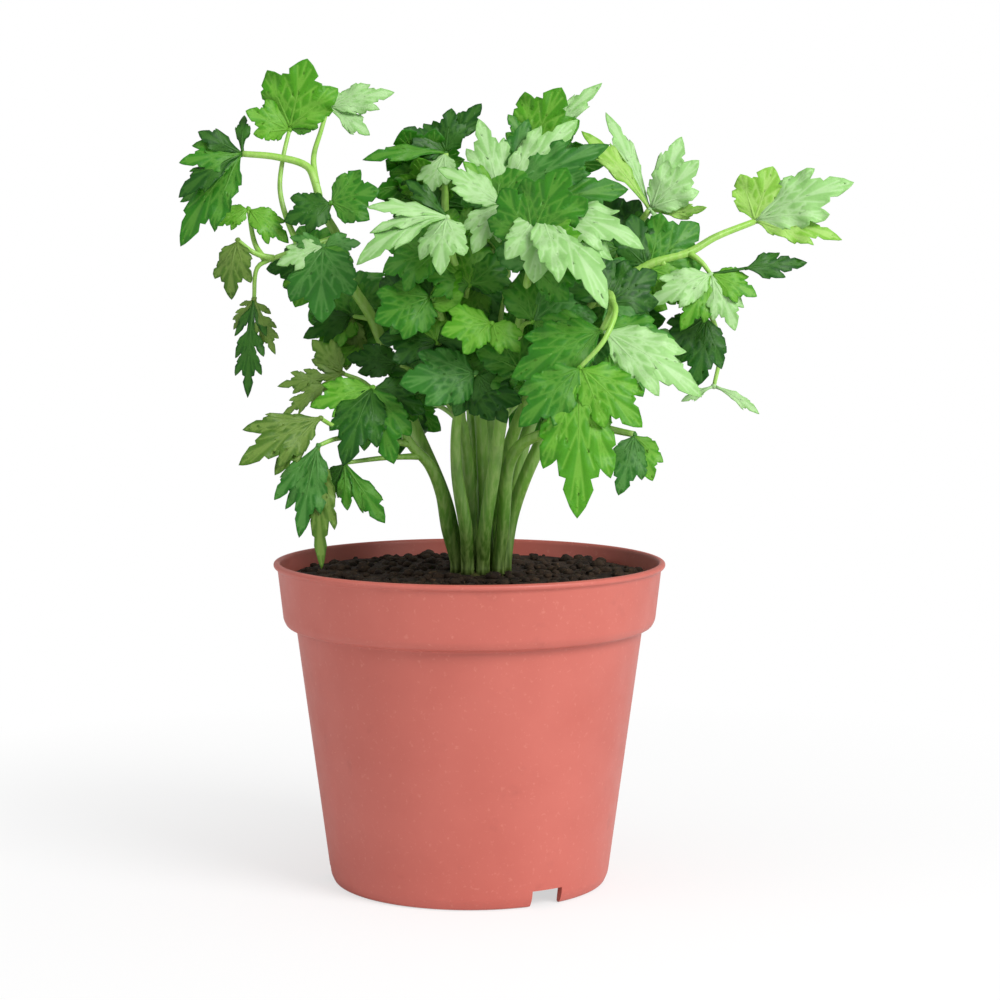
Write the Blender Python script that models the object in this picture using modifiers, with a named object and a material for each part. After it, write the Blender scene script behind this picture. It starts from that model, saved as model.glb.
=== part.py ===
"""Potted parsley: a young parsley plant standing in soil in a round plastic nursery pot.

Units: the tables are in millimetres, measured from the pot's axis on the standing plane
(+X right, +Y to the back, +Z up).  Everything hangs from one empty, so that the frame's
origin lies under the middle of the whole plant.

A stalk is a tapered tube with side branches.  A spray is a set of leaflets that share one
hub at the end of a branch; each leaflet is a thin bent blade with lobes.
"""

import math

import bmesh
import bpy
from mathutils import Vector
from mathutils.geometry import delaunay_2d_cdt

MM = 0.001
NAME = "potted_parsley"

# The pot's axis in the part's own frame
AXIS_X = -15.4
AXIS_Y = -4.9

# Pot
RIM_R = 65.0
RIM_Z = 107.3
BAND_TOP_R = 63.7
BAND_LOW_R = 61.6
BAND_Z = 86.0
BODY_TOP_R = 57.6
BODY_LOW_R = 46.6
FOOT_R = 45.3
FOOT_INNER_R = 43.7
WALL = 1.2
FLOOR_Z = 6.2
FLOOR_T = 1.3
NOTCH_W = 11.4
NOTCH_H = 5.4
NOTCH_ANGLES = (-57.4, 62.6, 182.6)
HOLE_R = 4.0
HOLE_RING_R = 27.0
HOLES = 4
POT_STEPS = 32

# Soil and crown
SOIL_Z = 102.0
SOIL_GAP = 0.35
CROWN_X = 3.6
CROWN_Y = 2.9
CROWN_RX = 10.6
CROWN_RY = 13.2
CROWN_TOP_Z = 103.9
ROOT_Z = 72.0
ROOT_R = 3.4

# Stalks and sprays
STALK_Z = 104.3
STALK_R = 2.2
STALK_END_R = 1.05
BRANCH_R = 1.0
BRANCH_END_R = 0.75
HUB_R = 1.3
HUB_GAP = 0.6
BLADE_T = 0.6
BASE_HALF = 0.5
CUP = 0.16

# Half outlines of the leaflets: (share of the length, share of the half width)
HALVES = {
    "tri": ((0.40, 1.0), (0.55, 0.45), (0.74, 0.62)),
    "oval": ((0.22, 0.84), (0.52, 1.0), (0.80, 0.66)),
    "finger": ((0.30, 0.40), (0.66, 1.0)),
    "serr": ((0.28, 1.0), (0.60, 0.80)),
    "stalked": ((0.34, 0.04), (0.60, 1.0)),
}
RIB_POINTS = (0.46,)

# Stalks: name, foot on the crown (x, y), route of the main tube, branches.
# The last point of a route or branch is the hub of a spray.
STALKS = (
    ("stalk_top_left", (-4.0, 2.5),
     ((-8, 4, 127), (-19, 6, 153), (-32, 4, 187), (-39, 0, 199), (-43, -5, 214), (-48, -6, 223),
      (-50, -5, 231), (-53, -3, 237), (-63, -3, 240), (-74, -4, 241)),
     (((-43, -5, 214), (-55, -10, 210), (-64, -9, 207), (-69, -10, 204), (-70, -11, 194)),
      ((-66, -9, 206), (-70, -6, 212), (-72, -6, 223)),
      ((-64, -9, 207), (-70, -12, 209), (-75, -12, 213)),
      ((-55, -10, 210), (-60, -4, 221), (-62, -2, 230), (-61, 0, 240), (-59, 2, 249)),
      ((-50, -5, 231), (-51, 0, 240), (-49, 8, 249), (-47, 14, 257)),
      ((-47, -6, 221), (-45, -10, 225)),
      ((-43, -5, 214), (-45, -12, 213), (-47, -18, 211)),
      ((-32, 4, 187), (-39, 6, 188)))),
    ("stalk_low_left", (-4.2, -2.8),
     ((-7, -5, 118), (-9, -8, 130), (-13, -12, 140), (-19, -16, 147), (-25, -19, 158), (-31, -26, 166)),
     (((-25, -19, 158), (-34, -16, 167), (-41, -16, 170)),
      ((-16, -14, 143), (-28, -22, 143), (-40, -29, 142)),
      ((-19, -16, 147), (-32, -26, 150), (-43, -32, 154), (-47, -39, 157)),
      ((-32, -26, 150), (-42, -31, 150), (-48, -35, 148)))),
    ("stalk_front_left", (-0.5, -6.5),
     ((-1, -10, 118), (-4, -14, 138), (-4, -18, 155), (-1, -24, 163), (2, -34, 171)),
     ()),
    ("stalk_front", (4.6, -7.3),
     ((5, -11, 118), (8, -15, 138), (10, -19, 153), (15, -30, 181), (19, -38, 204), (21, -44, 221)),
     (((12, -23, 166), (10, -19, 186), (12, -26, 198)),)),
    ("stalk_front_right", (9.6, -5.6),
     ((11, -7, 118), (12.5, -12, 138), (16, -15, 146), (22, -19, 150), (35, -28, 154), (52, -40, 152)),
     ()),
    ("stalk_right", (11.9, -0.6),
     ((14, 0, 121), (18, -3, 134), (24, -6, 148), (34, -10, 171), (45, -14, 196), (58, -14, 205),
      (71, -12, 209), (80, -9, 214), (93, -4, 219)),
     (((71, -12, 209), (75, -14, 206), (78, -15, 202)),
      ((62, -14, 206), (70, -6, 199), (78, -3, 188)),
      ((70, -6, 199), (80, 4, 188), (83, 4, 176), (81, 2, 165)))),
    ("stalk_arch", (8.0, 2.9),
     ((10, 4, 125), (15, -4, 151), (29, -22, 180), (40, -38, 195), (44, -45, 196), (44, -50, 191),
      (41, -52, 185)),
     (((43, -43, 196), (45, -55, 191), (41, -61, 182), (34, -60, 174)),)),
    ("stalk_right_top", (10.6, 7.2),
     ((14, 9, 126), (21, 12, 153), (37, 10, 183), (51, 4, 211), (59, -2, 223)),
     (((24, 12, 160), (31, 27, 186), (34, 40, 204)),
      ((37, 10, 183), (48, 17, 184), (58, 22, 182)))),
    ("stalk_back", (4.6, 8.0),
     ((6, 12, 140), (9, 18, 180), (14, 22, 215), (20, 22, 243)),
     (((11, 18, 193), (14, 8, 210), (16, -8, 222)),
      ((6, 13, 143), (14, 30, 155), (24, 48, 160)))),
    ("stalk_back_left", (-0.6, 7.2),
     ((-3, 12, 150), (-6, 16, 190), (-8, 18, 222), (-8, 16, 242)),
     (((-5, 14, 172), (-20, 26, 190), (-36, 34, 196)),)),
    ("stalk_centre", (2.9, 3.2),
     ((6, -1, 151), (8, -6, 190), (10, -13, 215), (10, -20, 226)),
     (((9, -9, 202), (10, -22, 214), (10, -30, 224)),)),
    ("stalk_centre_left", (5.9, -2.2),
     ((4, -7, 151), (0, -17, 187), (-6, -30, 211), (-7, -34, 220)),
     (((1, -13, 177), (1, -10, 192), (0, -12, 203), (0, -17, 207)),
      ((3, -10, 162), (7, -27, 178), (7, -42, 187)))),
    ("stalk_mid_left", (0.9, -1.7),
     ((-1, -8, 145), (-6, -16, 168), (-9, -24, 188), (-12, -30, 195)),
     (((-3, -11, 155), (-14, -13, 168), (-23, -14, 173)),)),
    ("stalk_far_back", (3.0, 13.0),
     ((2, 20, 140), (-1, 32, 180), (-3, 42, 206), (-4, 48, 216)),
     (((2, 22, 146), (-10, 36, 156), (-26, 46, 158)),)),
)

# Sprays: name, hub, facing of the blades, leaflets (kind, tip, width / length, arch).
SPRAYS = (
    ("leaf_top_left", (-59, 2, 249), (-0.1, -1.0, 0.2),
     (("tri", (-53, 0, 272), 0.95, 0.05), ("tri", (-73, -2, 255), 0.75, 0.05),
      ("tri", (-48, 4, 255), 0.60, 0.05))),
    ("leaf_far_left", (-74, -4, 241), (-0.4, -1.0, 0.3),
     (("finger", (-88, -8, 248), 0.45, 0.06), ("tri", (-94, -10, 238), 0.50, 0.06),
      ("finger", (-94, -13, 227), 0.35, 0.08), ("tri", (-94, -9, 211), 0.42, 0.10),
      ("finger", (-74, 2, 254), 0.35, 0.05))),
    ("leaf_pale_top", (-47, 14, 257), (0.1, -1.0, 0.5),
     (("tri", (-25, 18, 262), 0.40, 0.08), ("finger", (-33, 14, 248), 0.45, 0.06))),
    ("leaf_by_stalk", (-45, -10, 225), (0.1, -1.0, 0.4),
     (("tri", (-29, -11, 229), 1.0, 0.08), ("tri", (-60, -12, 219), 0.75, 0.06))),
    ("leaf_left_fold", (-72, -6, 223), (0.2, -0.9, 0.5),
     (("tri", (-59, -6, 212), 0.55, 0.10), ("tri", (-83, -8, 218), 0.60, 0.08))),
    ("leaf_olive_left", (-75, -12, 213), (-0.4, -1.0, 0.2),
     (("tri", (-77, -17, 194), 0.60, 0.10),)),
    ("leaf_hang_left", (-70, -11, 194), (-0.1, -1.0, 0.2),
     (("serr", (-63, -14, 176), 0.40, 0.08), ("serr", (-77, -10, 184), 0.45, 0.06),
      ("serr", (-72, -15, 162), 0.32, 0.08))),
    ("leaf_left_palm", (-47, -18, 211), (-0.1, -1.0, 0.4),
     (("tri", (-47, -30, 187), 0.75, 0.08), ("tri", (-62, -20, 205), 0.55, 0.06),
      ("tri", (-58, -16, 214), 0.45, 0.05), ("tri", (-35, -16, 212), 0.60, 0.06),
      ("tri", (-38, -22, 200), 0.60, 0.06))),
    ("leaf_mid_left", (-39, 6, 188), (-0.2, -1.0, 0.3),
     (("tri", (-55, 2, 181), 0.50, 0.08), ("tri", (-41, 4, 170), 0.60, 0.06),
      ("tri", (-28, 10, 200), 0.55, 0.05))),
    ("leaf_serrated_left", (-41, -16, 170), (-0.2, -1.0, 0.2),
     (("tri", (-51, -16, 181), 0.60, 0.06), ("serr", (-62, -20, 166), 0.40, 0.06),
      ("serr", (-61, -24, 156), 0.28, 0.08))),
    ("leaf_low_fan", (-31, -26, 166), (-0.1, -1.0, 0.3),
     (("tri", (-51, -29, 160), 0.50, 0.06), ("tri", (-40, -38, 142), 0.55, 0.08),
      ("tri", (-24, -34, 142), 0.60, 0.08), ("tri", (-14, -26, 158), 0.70, 0.05))),
    ("leaf_low_hang", (-40, -29, 142), (-0.1, -1.0, 0.2),
     (("finger", (-27, -33, 123), 0.35, 0.06), ("finger", (-39, -32, 127), 0.40, 0.05),
      ("tri", (-47, -28, 129), 0.50, 0.05))),
    ("leaf_olive_fingers", (-47, -39, 157), (-0.3, -1.0, 0.3),
     (("finger", (-71, -46, 154), 0.28, 0.06), ("tri", (-72, -50, 143), 0.42, 0.08),
      ("finger", (-61, -48, 140), 0.35, 0.08))),
    ("leaf_over_rim", (-48, -35, 148), (-0.2, -1.0, 0.1),
     (("finger", (-62, -38, 131), 0.30, 0.06), ("tri", (-54, -39, 119), 0.36, 0.06),
      ("tri", (-47, -40, 109), 0.24, 0.03))),
    ("leaf_pale_left", (-7, -34, 220), (-0.2, -0.9, 0.8),
     (("finger", (-32, -42, 223), 0.30, 0.08), ("finger", (-31, -46, 215), 0.25, 0.10),
      ("finger", (-35, -50, 206), 0.30, 0.12), ("tri", (-9, -46, 202), 0.62, 0.12),
      ("finger", (-20, -32, 232), 0.35, 0.05))),
    ("leaf_pale_centre", (10, -30, 224), (0.0, -0.9, 0.7),
     (("tri", (-10, -31, 236), 0.45, 0.06), ("tri", (1, -41, 209), 0.62, 0.12),
      ("finger", (13, -38, 211), 0.40, 0.08))),
    ("leaf_crest", (10, -20, 226), (0.1, -1.0, 0.4),
     (("tri", (3, -14, 252), 0.45, 0.05), ("finger", (19, -10, 252), 0.35, 0.05),
      ("tri", (35, -12, 252), 0.38, 0.08), ("tri", (45, -16, 244), 0.36, 0.10),
      ("finger", (-2, -22, 238), 0.40, 0.05))),
    ("leaf_under_crest", (16, -8, 222), (0.2, -1.0, 0.5),
     (("tri", (52, -4, 230), 0.50, 0.10), ("tri", (37, -12, 214), 0.60, 0.10),
      ("tri", (29, 0, 240), 0.60, 0.05))),
    ("leaf_pale_right", (21, -44, 221), (0.2, -0.9, 0.7),
     (("tri", (20, -55, 200), 0.74, 0.12), ("tri", (42, -62, 192), 0.50, 0.14),
      ("tri", (54, -53, 211), 0.42, 0.12))),
    ("leaf_top_back", (20, 22, 243), (0.1, -0.9, 0.5),
     (("tri", (31, 22, 264), 0.85, 0.06), ("tri", (13, 20, 255), 0.60, 0.05),
      ("finger", (45, 32, 266), 0.20, 0.06))),
    ("leaf_dark_top", (-8, 16, 242), (-0.1, -0.9, 0.5),
     (("tri", (-22, 14, 250), 0.70, 0.06), ("tri", (-6, 18, 257), 0.70, 0.05),
      ("finger", (4, 22, 259), 0.40, 0.05), ("oval", (-14, 8, 228), 0.70, 0.05),
      ("finger", (-35, 6, 240), 0.24, 0.08))),
    ("leaf_right_cluster", (59, -2, 223), (0.3, -1.0, 0.4),
     (("tri", (75, -3, 239), 0.60, 0.08), ("finger", (70, 6, 247), 0.35, 0.06),
      ("finger", (37, 4, 249), 0.24, 0.08), ("finger", (45, 10, 255), 0.20, 0.05),
      ("finger", (77, -8, 224), 0.25, -0.18), ("finger", (68, -10, 208), 0.35, 0.10))),
    ("leaf_far_right", (93, -4, 219), (0.1, -0.9, 0.5),
     (("tri", (99, -4, 237), 0.95, 0.06), ("tri", (125, -7, 232), 0.48, 0.10),
      ("tri", (121, -10, 213), 0.34, 0.10))),
    ("leaf_right_mid", (78, -15, 202), (0.2, -1.0, 0.4),
     (("tri", (57, -22, 192), 0.45, 0.12), ("tri", (68, -20, 184), 0.50, 0.08),
      ("tri", (86, -18, 184), 0.55, 0.08), ("tri", (93, -16, 195), 0.60, 0.06),
      ("stalked", (110, -10, 206), 0.30, 0.05))),
    ("leaf_dark_right", (78, -3, 188), (0.2, -1.0, 0.2),
     (("tri", (74, -8, 165), 0.60, 0.08), ("tri", (62, -10, 178), 0.55, 0.06))),
    ("leaf_thin_right", (81, 2, 165), (0.2, -0.9, 0.5),
     (("finger", (96, 0, 156), 0.24, 0.08), ("finger", (70, 0, 160), 0.28, 0.06))),
    ("leaf_front_big", (34, -60, 174), (0.0, -1.0, 0.3),
     (("tri", (33, -66, 128), 0.44, 0.05), ("tri", (15, -64, 156), 0.55, 0.06),
      ("tri", (53, -64, 156), 0.62, 0.06))),
    ("leaf_front_pair", (41, -52, 185), (0.0, -1.0, 0.5),
     (("tri", (13, -54, 170), 0.58, 0.10), ("finger", (22, -48, 189), 0.40, 0.05),
      ("tri", (72, -56, 165), 0.45, 0.10), ("tri", (64, -48, 182), 0.50, 0.08))),
    ("leaf_low_pair", (52, -40, 152), (0.2, -1.0, 0.2),
     (("tri", (47, -44, 133), 0.55, 0.05), ("tri", (58, -38, 137), 0.65, 0.06))),
    ("leaf_mid_round", (-12, -30, 195), (-0.2, -1.0, 0.4),
     (("oval", (-30, -34, 187), 1.05, 0.08),)),
    ("leaf_bright_mid", (7, -42, 187), (0.0, -1.0, 0.5),
     (("tri", (-9, -46, 184), 0.85, 0.08), ("tri", (16, -44, 178), 0.75, 0.06))),
    ("leaf_low_round", (2, -34, 171), (0.0, -1.0, 0.3),
     (("oval", (-22, -40, 168), 0.80, 0.08), ("oval", (12, -34, 155), 0.65, 0.05))),
    ("leaf_mid_dark", (0, -17, 207), (0.1, -1.0, 0.3),
     (("oval", (10, -19, 188), 0.60, 0.06),)),
    ("leaf_mid_right", (12, -26, 198), (0.1, -1.0, 0.4),
     (("tri", (31, -31, 195), 0.75, 0.08), ("tri", (24, -26, 184), 0.60, 0.05))),
    ("leaf_dark_mid", (-23, -14, 173), (-0.1, -1.0, 0.3),
     (("oval", (-40, -10, 175), 0.65, 0.06),)),
    ("leaf_back_left", (-36, 34, 196), (-0.3, 0.6, 0.8),
     (("tri", (-56, 46, 186), 0.70, 0.10), ("tri", (-44, 60, 200), 0.70, 0.12),
      ("tri", (-24, 56, 184), 0.75, 0.10))),
    ("leaf_back_mid", (-4, 48, 216), (0.0, 0.6, 0.9),
     (("tri", (-24, 60, 214), 0.70, 0.10), ("tri", (0, 76, 204), 0.75, 0.12),
      ("tri", (18, 64, 218), 0.70, 0.10), ("tri", (-6, 52, 240), 0.60, 0.05))),
    ("leaf_back_right", (34, 40, 204), (0.4, 0.6, 0.8),
     (("tri", (57, 46, 196), 0.70, 0.10), ("tri", (46, 64, 202), 0.70, 0.12),
      ("tri", (22, 60, 192), 0.75, 0.10))),
    ("leaf_back_low_left", (-26, 46, 158), (-0.2, 1.0, 0.3),
     (("tri", (-44, 56, 148), 0.70, 0.08), ("tri", (-27, 64, 136), 0.70, 0.08),
      ("tri", (-10, 58, 146), 0.70, 0.08))),
    ("leaf_back_low_right", (24, 48, 160), (0.2, 1.0, 0.3),
     (("tri", (42, 58, 150), 0.70, 0.08), ("tri", (26, 68, 138), 0.70, 0.08),
      ("tri", (7, 62, 152), 0.70, 0.08))),
    ("leaf_side_right", (58, 22, 182), (0.6, -0.2, 0.8),
     (("tri", (78, 24, 176), 0.70, 0.10), ("tri", (64, 42, 172), 0.70, 0.10))),
)


def clear_scene():
    for obj in list(bpy.data.objects):
        bpy.data.objects.remove(obj, do_unlink=True)


def material(name, colour, roughness, metallic=0.0):
    mat = bpy.data.materials.new(name)
    mat.use_nodes = True
    shader = mat.node_tree.nodes["Principled BSDF"]
    shader.inputs["Base Color"].default_value = (*colour, 1.0)
    shader.inputs["Roughness"].default_value = roughness
    shader.inputs["Metallic"].default_value = metallic
    return mat


def new_object(name, mesh, where, parent=None, at=(0.0, 0.0, 0.0)):
    obj = bpy.data.objects.new(name, mesh)
    where.objects.link(obj)
    obj.location = Vector(at) * MM
    obj.parent = parent
    return obj


def settle(obj):
    """Bake the object's modifiers into its own mesh."""
    graph = bpy.context.evaluated_depsgraph_get()
    mesh = bpy.data.meshes.new_from_object(obj.evaluated_get(graph))
    mesh.name = obj.name
    obj.modifiers.clear()
    obj.data = mesh


def weld(mesh, distance=1e-6):
    bm = bmesh.new()
    bm.from_mesh(mesh)
    bmesh.ops.remove_doubles(bm, verts=bm.verts, dist=distance)
    bmesh.ops.recalc_face_normals(bm, faces=bm.faces)
    bm.to_mesh(mesh)
    bm.free()


def smooth(obj, angle=math.radians(35)):
    obj.data.shade_smooth()
    obj.data.set_sharp_from_angle(angle=angle)


def is_sound(mesh):
    """True when the mesh is one closed island."""
    bm = bmesh.new()
    bm.from_mesh(mesh)
    closed = all(len(e.link_faces) == 2 for e in bm.edges)
    seen = {bm.verts[:][0]}
    todo = list(seen)
    while todo:
        for edge in todo.pop().link_edges:
            for vert in edge.verts:
                if vert not in seen:
                    seen.add(vert)
                    todo.append(vert)
    whole = len(seen) == len(bm.verts)
    bm.free()
    return closed and whole


def join_solids(name, pieces, where, parent, at):
    """Union closed solids, all given in the same local frame, into one closed body."""
    for solver in ("EXACT", "MANIFOLD"):
        body = unite(name, pieces, where, parent, at, solver)
        if is_sound(body.data) or solver == "MANIFOLD":
            return body
        bpy.data.objects.remove(body, do_unlink=True)


def unite(name, pieces, where, parent, at, solver):
    first = new_object(name, pieces[0].copy(), where, parent, at)
    if len(pieces) == 1:
        return first
    tools = bpy.data.collections.new(name + "_pieces")
    bpy.context.scene.collection.children.link(tools)
    for i, mesh in enumerate(pieces[1:]):
        new_object(f"{name}_piece_{i}", mesh.copy(), tools, parent, at)
    union = first.modifiers.new("union", "BOOLEAN")
    union.operation = "UNION"
    union.operand_type = "COLLECTION"
    union.collection = tools
    union.solver = solver
    bpy.context.view_layer.update()
    settle(first)
    for obj in list(tools.objects):
        bpy.data.objects.remove(obj, do_unlink=True)
    bpy.data.collections.remove(tools)
    weld(first.data)
    return first


def lathe(name, profile, where, parent, steps, at=(0.0, 0.0, 0.0)):
    """Turn a closed profile (radius, height) in mm about +Z into a solid."""
    mesh = bpy.data.meshes.new(name)
    points = [(r * MM, 0.0, z * MM) for r, z in profile]
    on_axis = profile[0][0] == 0 and profile[-1][0] == 0
    edges = [(i, i + 1) for i in range(len(points) - 1)]
    if not on_axis:
        edges.append((len(points) - 1, 0))
    mesh.from_pydata(points, edges, [])
    obj = new_object(name, mesh, where, parent, at)
    screw = obj.modifiers.new("turn", "SCREW")
    screw.axis = "Z"
    screw.angle = math.tau
    screw.steps = steps
    screw.render_steps = steps
    screw.use_merge_vertices = True
    screw.merge_threshold = 0.00001
    screw.use_normal_calculate = True
    bpy.context.view_layer.update()
    settle(obj)
    weld(obj.data)
    return obj


def cut(obj, tool):
    tool.hide_render = True
    tool.display_type = "WIRE"
    mod = obj.modifiers.new("cut_" + tool.name, "BOOLEAN")
    mod.operation = "DIFFERENCE"
    mod.object = tool
    mod.solver = "EXACT"


def make_pot(where, cutters, root, mat):
    inner_top = BAND_TOP_R - WALL
    inner_low = BAND_LOW_R - WALL
    profile = (
        (RIM_R - 1.6, RIM_Z),
        (RIM_R, RIM_Z - 0.6),
        (RIM_R, RIM_Z - 1.6),
        (BAND_TOP_R, RIM_Z - 2.4),
        (BAND_LOW_R + 0.2, BAND_Z + 2.2),
        (BAND_LOW_R - 1.0, BAND_Z),
        (BODY_TOP_R, BAND_Z - 0.6),
        (BODY_LOW_R, 3.0),
        (FOOT_R, 0.0),
        (FOOT_INNER_R, 0.0),
        (BODY_LOW_R - WALL - 0.6, FLOOR_Z),
        (0.0, FLOOR_Z),
        (0.0, FLOOR_Z + FLOOR_T),
        (BODY_LOW_R - WALL, FLOOR_Z + FLOOR_T),
        (BODY_TOP_R - WALL, BAND_Z - 1.4),
        (inner_low - 0.4, BAND_Z + 1.6),
        (inner_top, RIM_Z - 2.8),
        (RIM_R - 2.2, RIM_Z - 0.5),
    )
    # The profile starts and ends on the axis, so that the floor closes without a pin hole.
    start = profile.index((0.0, FLOOR_Z + FLOOR_T))
    turned = profile[start:] + profile[:start]
    pot = lathe("pot", turned, where, root, POT_STEPS)
    for i, angle in enumerate(NOTCH_ANGLES):
        a = math.radians(angle)
        bpy.ops.mesh.primitive_cube_add(size=1.0)
        tool = bpy.context.object
        tool.name = f"cut_notch_{i}"
        tool.data.transform(bevelled_scale(14.0, NOTCH_W, 2 * NOTCH_H))
        tool.location = (math.cos(a) * 46.0 * MM, math.sin(a) * 46.0 * MM, 0.0)
        tool.rotation_euler = (0.0, 0.0, a)
        move_to(tool, cutters, root)
        cut(pot, tool)
    for i in range(HOLES):
        a = math.radians(45 + 360 / HOLES * i)
        bpy.ops.mesh.primitive_cylinder_add(vertices=10, radius=HOLE_R * MM, depth=6 * MM)
        tool = bpy.context.object
        tool.name = f"cut_hole_{i}"
        tool.location = (
            math.cos(a) * HOLE_RING_R * MM,
            math.sin(a) * HOLE_RING_R * MM,
            (FLOOR_Z + 0.5 * FLOOR_T) * MM,
        )
        move_to(tool, cutters, root)
        cut(pot, tool)
    smooth(pot)
    pot.data.materials.append(mat)
    return pot


def bevelled_scale(x, y, z):
    """Scale matrix for a unit cube, in mm."""
    from mathutils import Matrix

    return Matrix.Diagonal((x * MM, y * MM, z * MM, 1.0))


def move_to(obj, where, parent):
    for used in list(obj.users_collection):
        used.objects.unlink(obj)
    where.objects.link(obj)
    obj.parent = parent


def crown_profile(grow=0.0):
    """Half section of the crown and its tap root, drawn at the X radius."""
    return (
        (0.0, ROOT_Z - grow),
        (ROOT_R + grow, ROOT_Z - grow),
        (CROWN_RX * 0.62 + grow, 88.0),
        (CROWN_RX + grow, 98.0),
        (CROWN_RX + grow, 101.6),
        (CROWN_RX - 1.4 + grow, CROWN_TOP_Z + grow),
        (0.0, CROWN_TOP_Z + grow),
    )


def turn_crown(name, grow, where, root):
    obj = lathe(name, crown_profile(grow), where, root, 24, (CROWN_X, CROWN_Y, 0.0))
    stretch = (CROWN_RY + grow) / (CROWN_RX + grow)
    for v in obj.data.vertices:
        v.co.y *= stretch
    return obj


def make_soil(where, cutters, root, mat):
    gap = SOIL_GAP
    inner_low = BAND_LOW_R - WALL
    profile = (
        (0.0, FLOOR_Z + FLOOR_T + gap),
        (BODY_LOW_R - WALL - gap, FLOOR_Z + FLOOR_T + gap),
        (BODY_TOP_R - WALL - gap, BAND_Z - 1.2),
        (inner_low - 0.4 - gap, BAND_Z + 2.0),
        (inner_low + 0.3, SOIL_Z - 0.6),
        (48.0, SOIL_Z),
        (0.0, SOIL_Z + 0.8),
    )
    soil = lathe("soil", profile, where, root, POT_STEPS)
    socket = turn_crown("cut_socket", SOIL_GAP, cutters, root)
    cut(soil, socket)
    smooth(soil)
    soil.data.materials.append(mat)
    return soil


def tube(name, points, r0, r1, hold, sides, origin):
    """Closed tapered tube mesh along points, local to origin; radius holds, then tapers."""
    curve = bpy.data.curves.new(name, "CURVE")
    curve.dimensions = "3D"
    curve.fill_mode = "FULL"
    curve.bevel_depth = MM
    curve.bevel_resolution = sides
    curve.use_fill_caps = True
    spline = curve.splines.new("POLY")
    spline.points.add(len(points) - 1)
    last = len(points) - 1
    for i, p in enumerate(points):
        share = max(0.0, i / last - hold) / (1.0 - hold)
        local = (p - origin) * MM
        spline.points[i].co = (*local, 1.0)
        spline.points[i].radius = r0 + (r1 - r0) * share
    holder = bpy.data.objects.new(name, curve)
    bpy.context.scene.collection.objects.link(holder)
    graph = bpy.context.evaluated_depsgraph_get()
    mesh = bpy.data.meshes.new_from_object(holder.evaluated_get(graph))
    bpy.data.objects.remove(holder, do_unlink=True)
    weld(mesh)
    return mesh


def short_of_hub(points):
    """Pull the last point back so that the tube ends clear of the hub."""
    out = list(points)
    way = (out[-1] - out[-2]).normalized()
    out[-1] = out[-1] - way * (HUB_R + HUB_GAP)
    return out


def make_stalk(name, foot, route, branches, where, root, mat):
    origin = Vector((foot[0], foot[1], STALK_Z))
    start = (foot[0], foot[1], STALK_Z + 3.0)
    line = [origin] + short_of_hub([Vector(p) for p in (start, *route)])
    pieces = [tube(name, line, STALK_R, STALK_END_R, 0.35, 1, origin)]
    for i, branch in enumerate(branches):
        arm = short_of_hub([Vector(p) for p in branch])
        pieces.append(tube(f"{name}_{i}", arm, BRANCH_R, BRANCH_END_R, 0.0, 0, origin))
    stalk = join_solids(name, pieces, where, root, tuple(origin))
    smooth(stalk, math.radians(60))
    stalk.data.materials.append(mat)
    return stalk


def leaflet(kind, hub, tip, face, width, arch):
    """Thin closed blade from the hub to the tip, local to the hub."""
    run = Vector(tip) - Vector(hub)
    length = run.length
    along = run.normalized()
    normal = Vector(face)
    normal = (normal - along * normal.dot(along)).normalized()
    across = normal.cross(along)
    half = 0.5 * width * length
    right = [(u, max(v * half, BASE_HALF)) for u, v in HALVES[kind]]
    loop = [(0.0, BASE_HALF)] + right + [(1.0, 0.0)]
    loop += [(u, -v) for u, v in reversed(right)] + [(0.0, -BASE_HALF)]
    flat = [Vector((u * length, v)) for u, v in loop]
    count = len(flat)
    flat += [Vector((u * length, 0.0)) for u in RIB_POINTS]
    found = delaunay_2d_cdt(flat, [], [list(range(count))], 1, 1e-5)
    surface = bmesh.new()
    verts = []
    for p in found[0]:
        u = p.x / length
        lift = arch * length * 4.0 * u * (1.0 - u)
        lift -= CUP * half * (abs(p.y) / half) ** 2
        place = along * p.x + across * p.y + normal * lift
        verts.append(surface.verts.new(place * MM))
    for tri in found[2]:
        surface.faces.new([verts[k] for k in tri])
    bmesh.ops.recalc_face_normals(surface, faces=surface.faces)
    mesh = bpy.data.meshes.new("blade")
    surface.to_mesh(mesh)
    surface.free()
    holder = bpy.data.objects.new("blade", mesh)
    bpy.context.scene.collection.objects.link(holder)
    thick = holder.modifiers.new("thickness", "SOLIDIFY")
    thick.thickness = BLADE_T * MM
    thick.offset = 0.0
    graph = bpy.context.evaluated_depsgraph_get()
    solid = bpy.data.meshes.new_from_object(holder.evaluated_get(graph))
    bpy.data.objects.remove(holder, do_unlink=True)
    weld(solid)
    return solid


def make_spray(name, hub, face, leaflets, where, root, mat):
    ball = bmesh.new()
    bmesh.ops.create_icosphere(ball, subdivisions=1, radius=HUB_R * MM)
    mesh = bpy.data.meshes.new(name)
    ball.to_mesh(mesh)
    ball.free()
    pieces = [mesh]
    for kind, tip, width, arch in leaflets:
        pieces.append(leaflet(kind, hub, tip, face, width, arch))
    spray = join_solids(name, pieces, where, root, hub)
    smooth(spray, math.radians(40))
    spray.data.materials.append(mat)
    return spray


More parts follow.
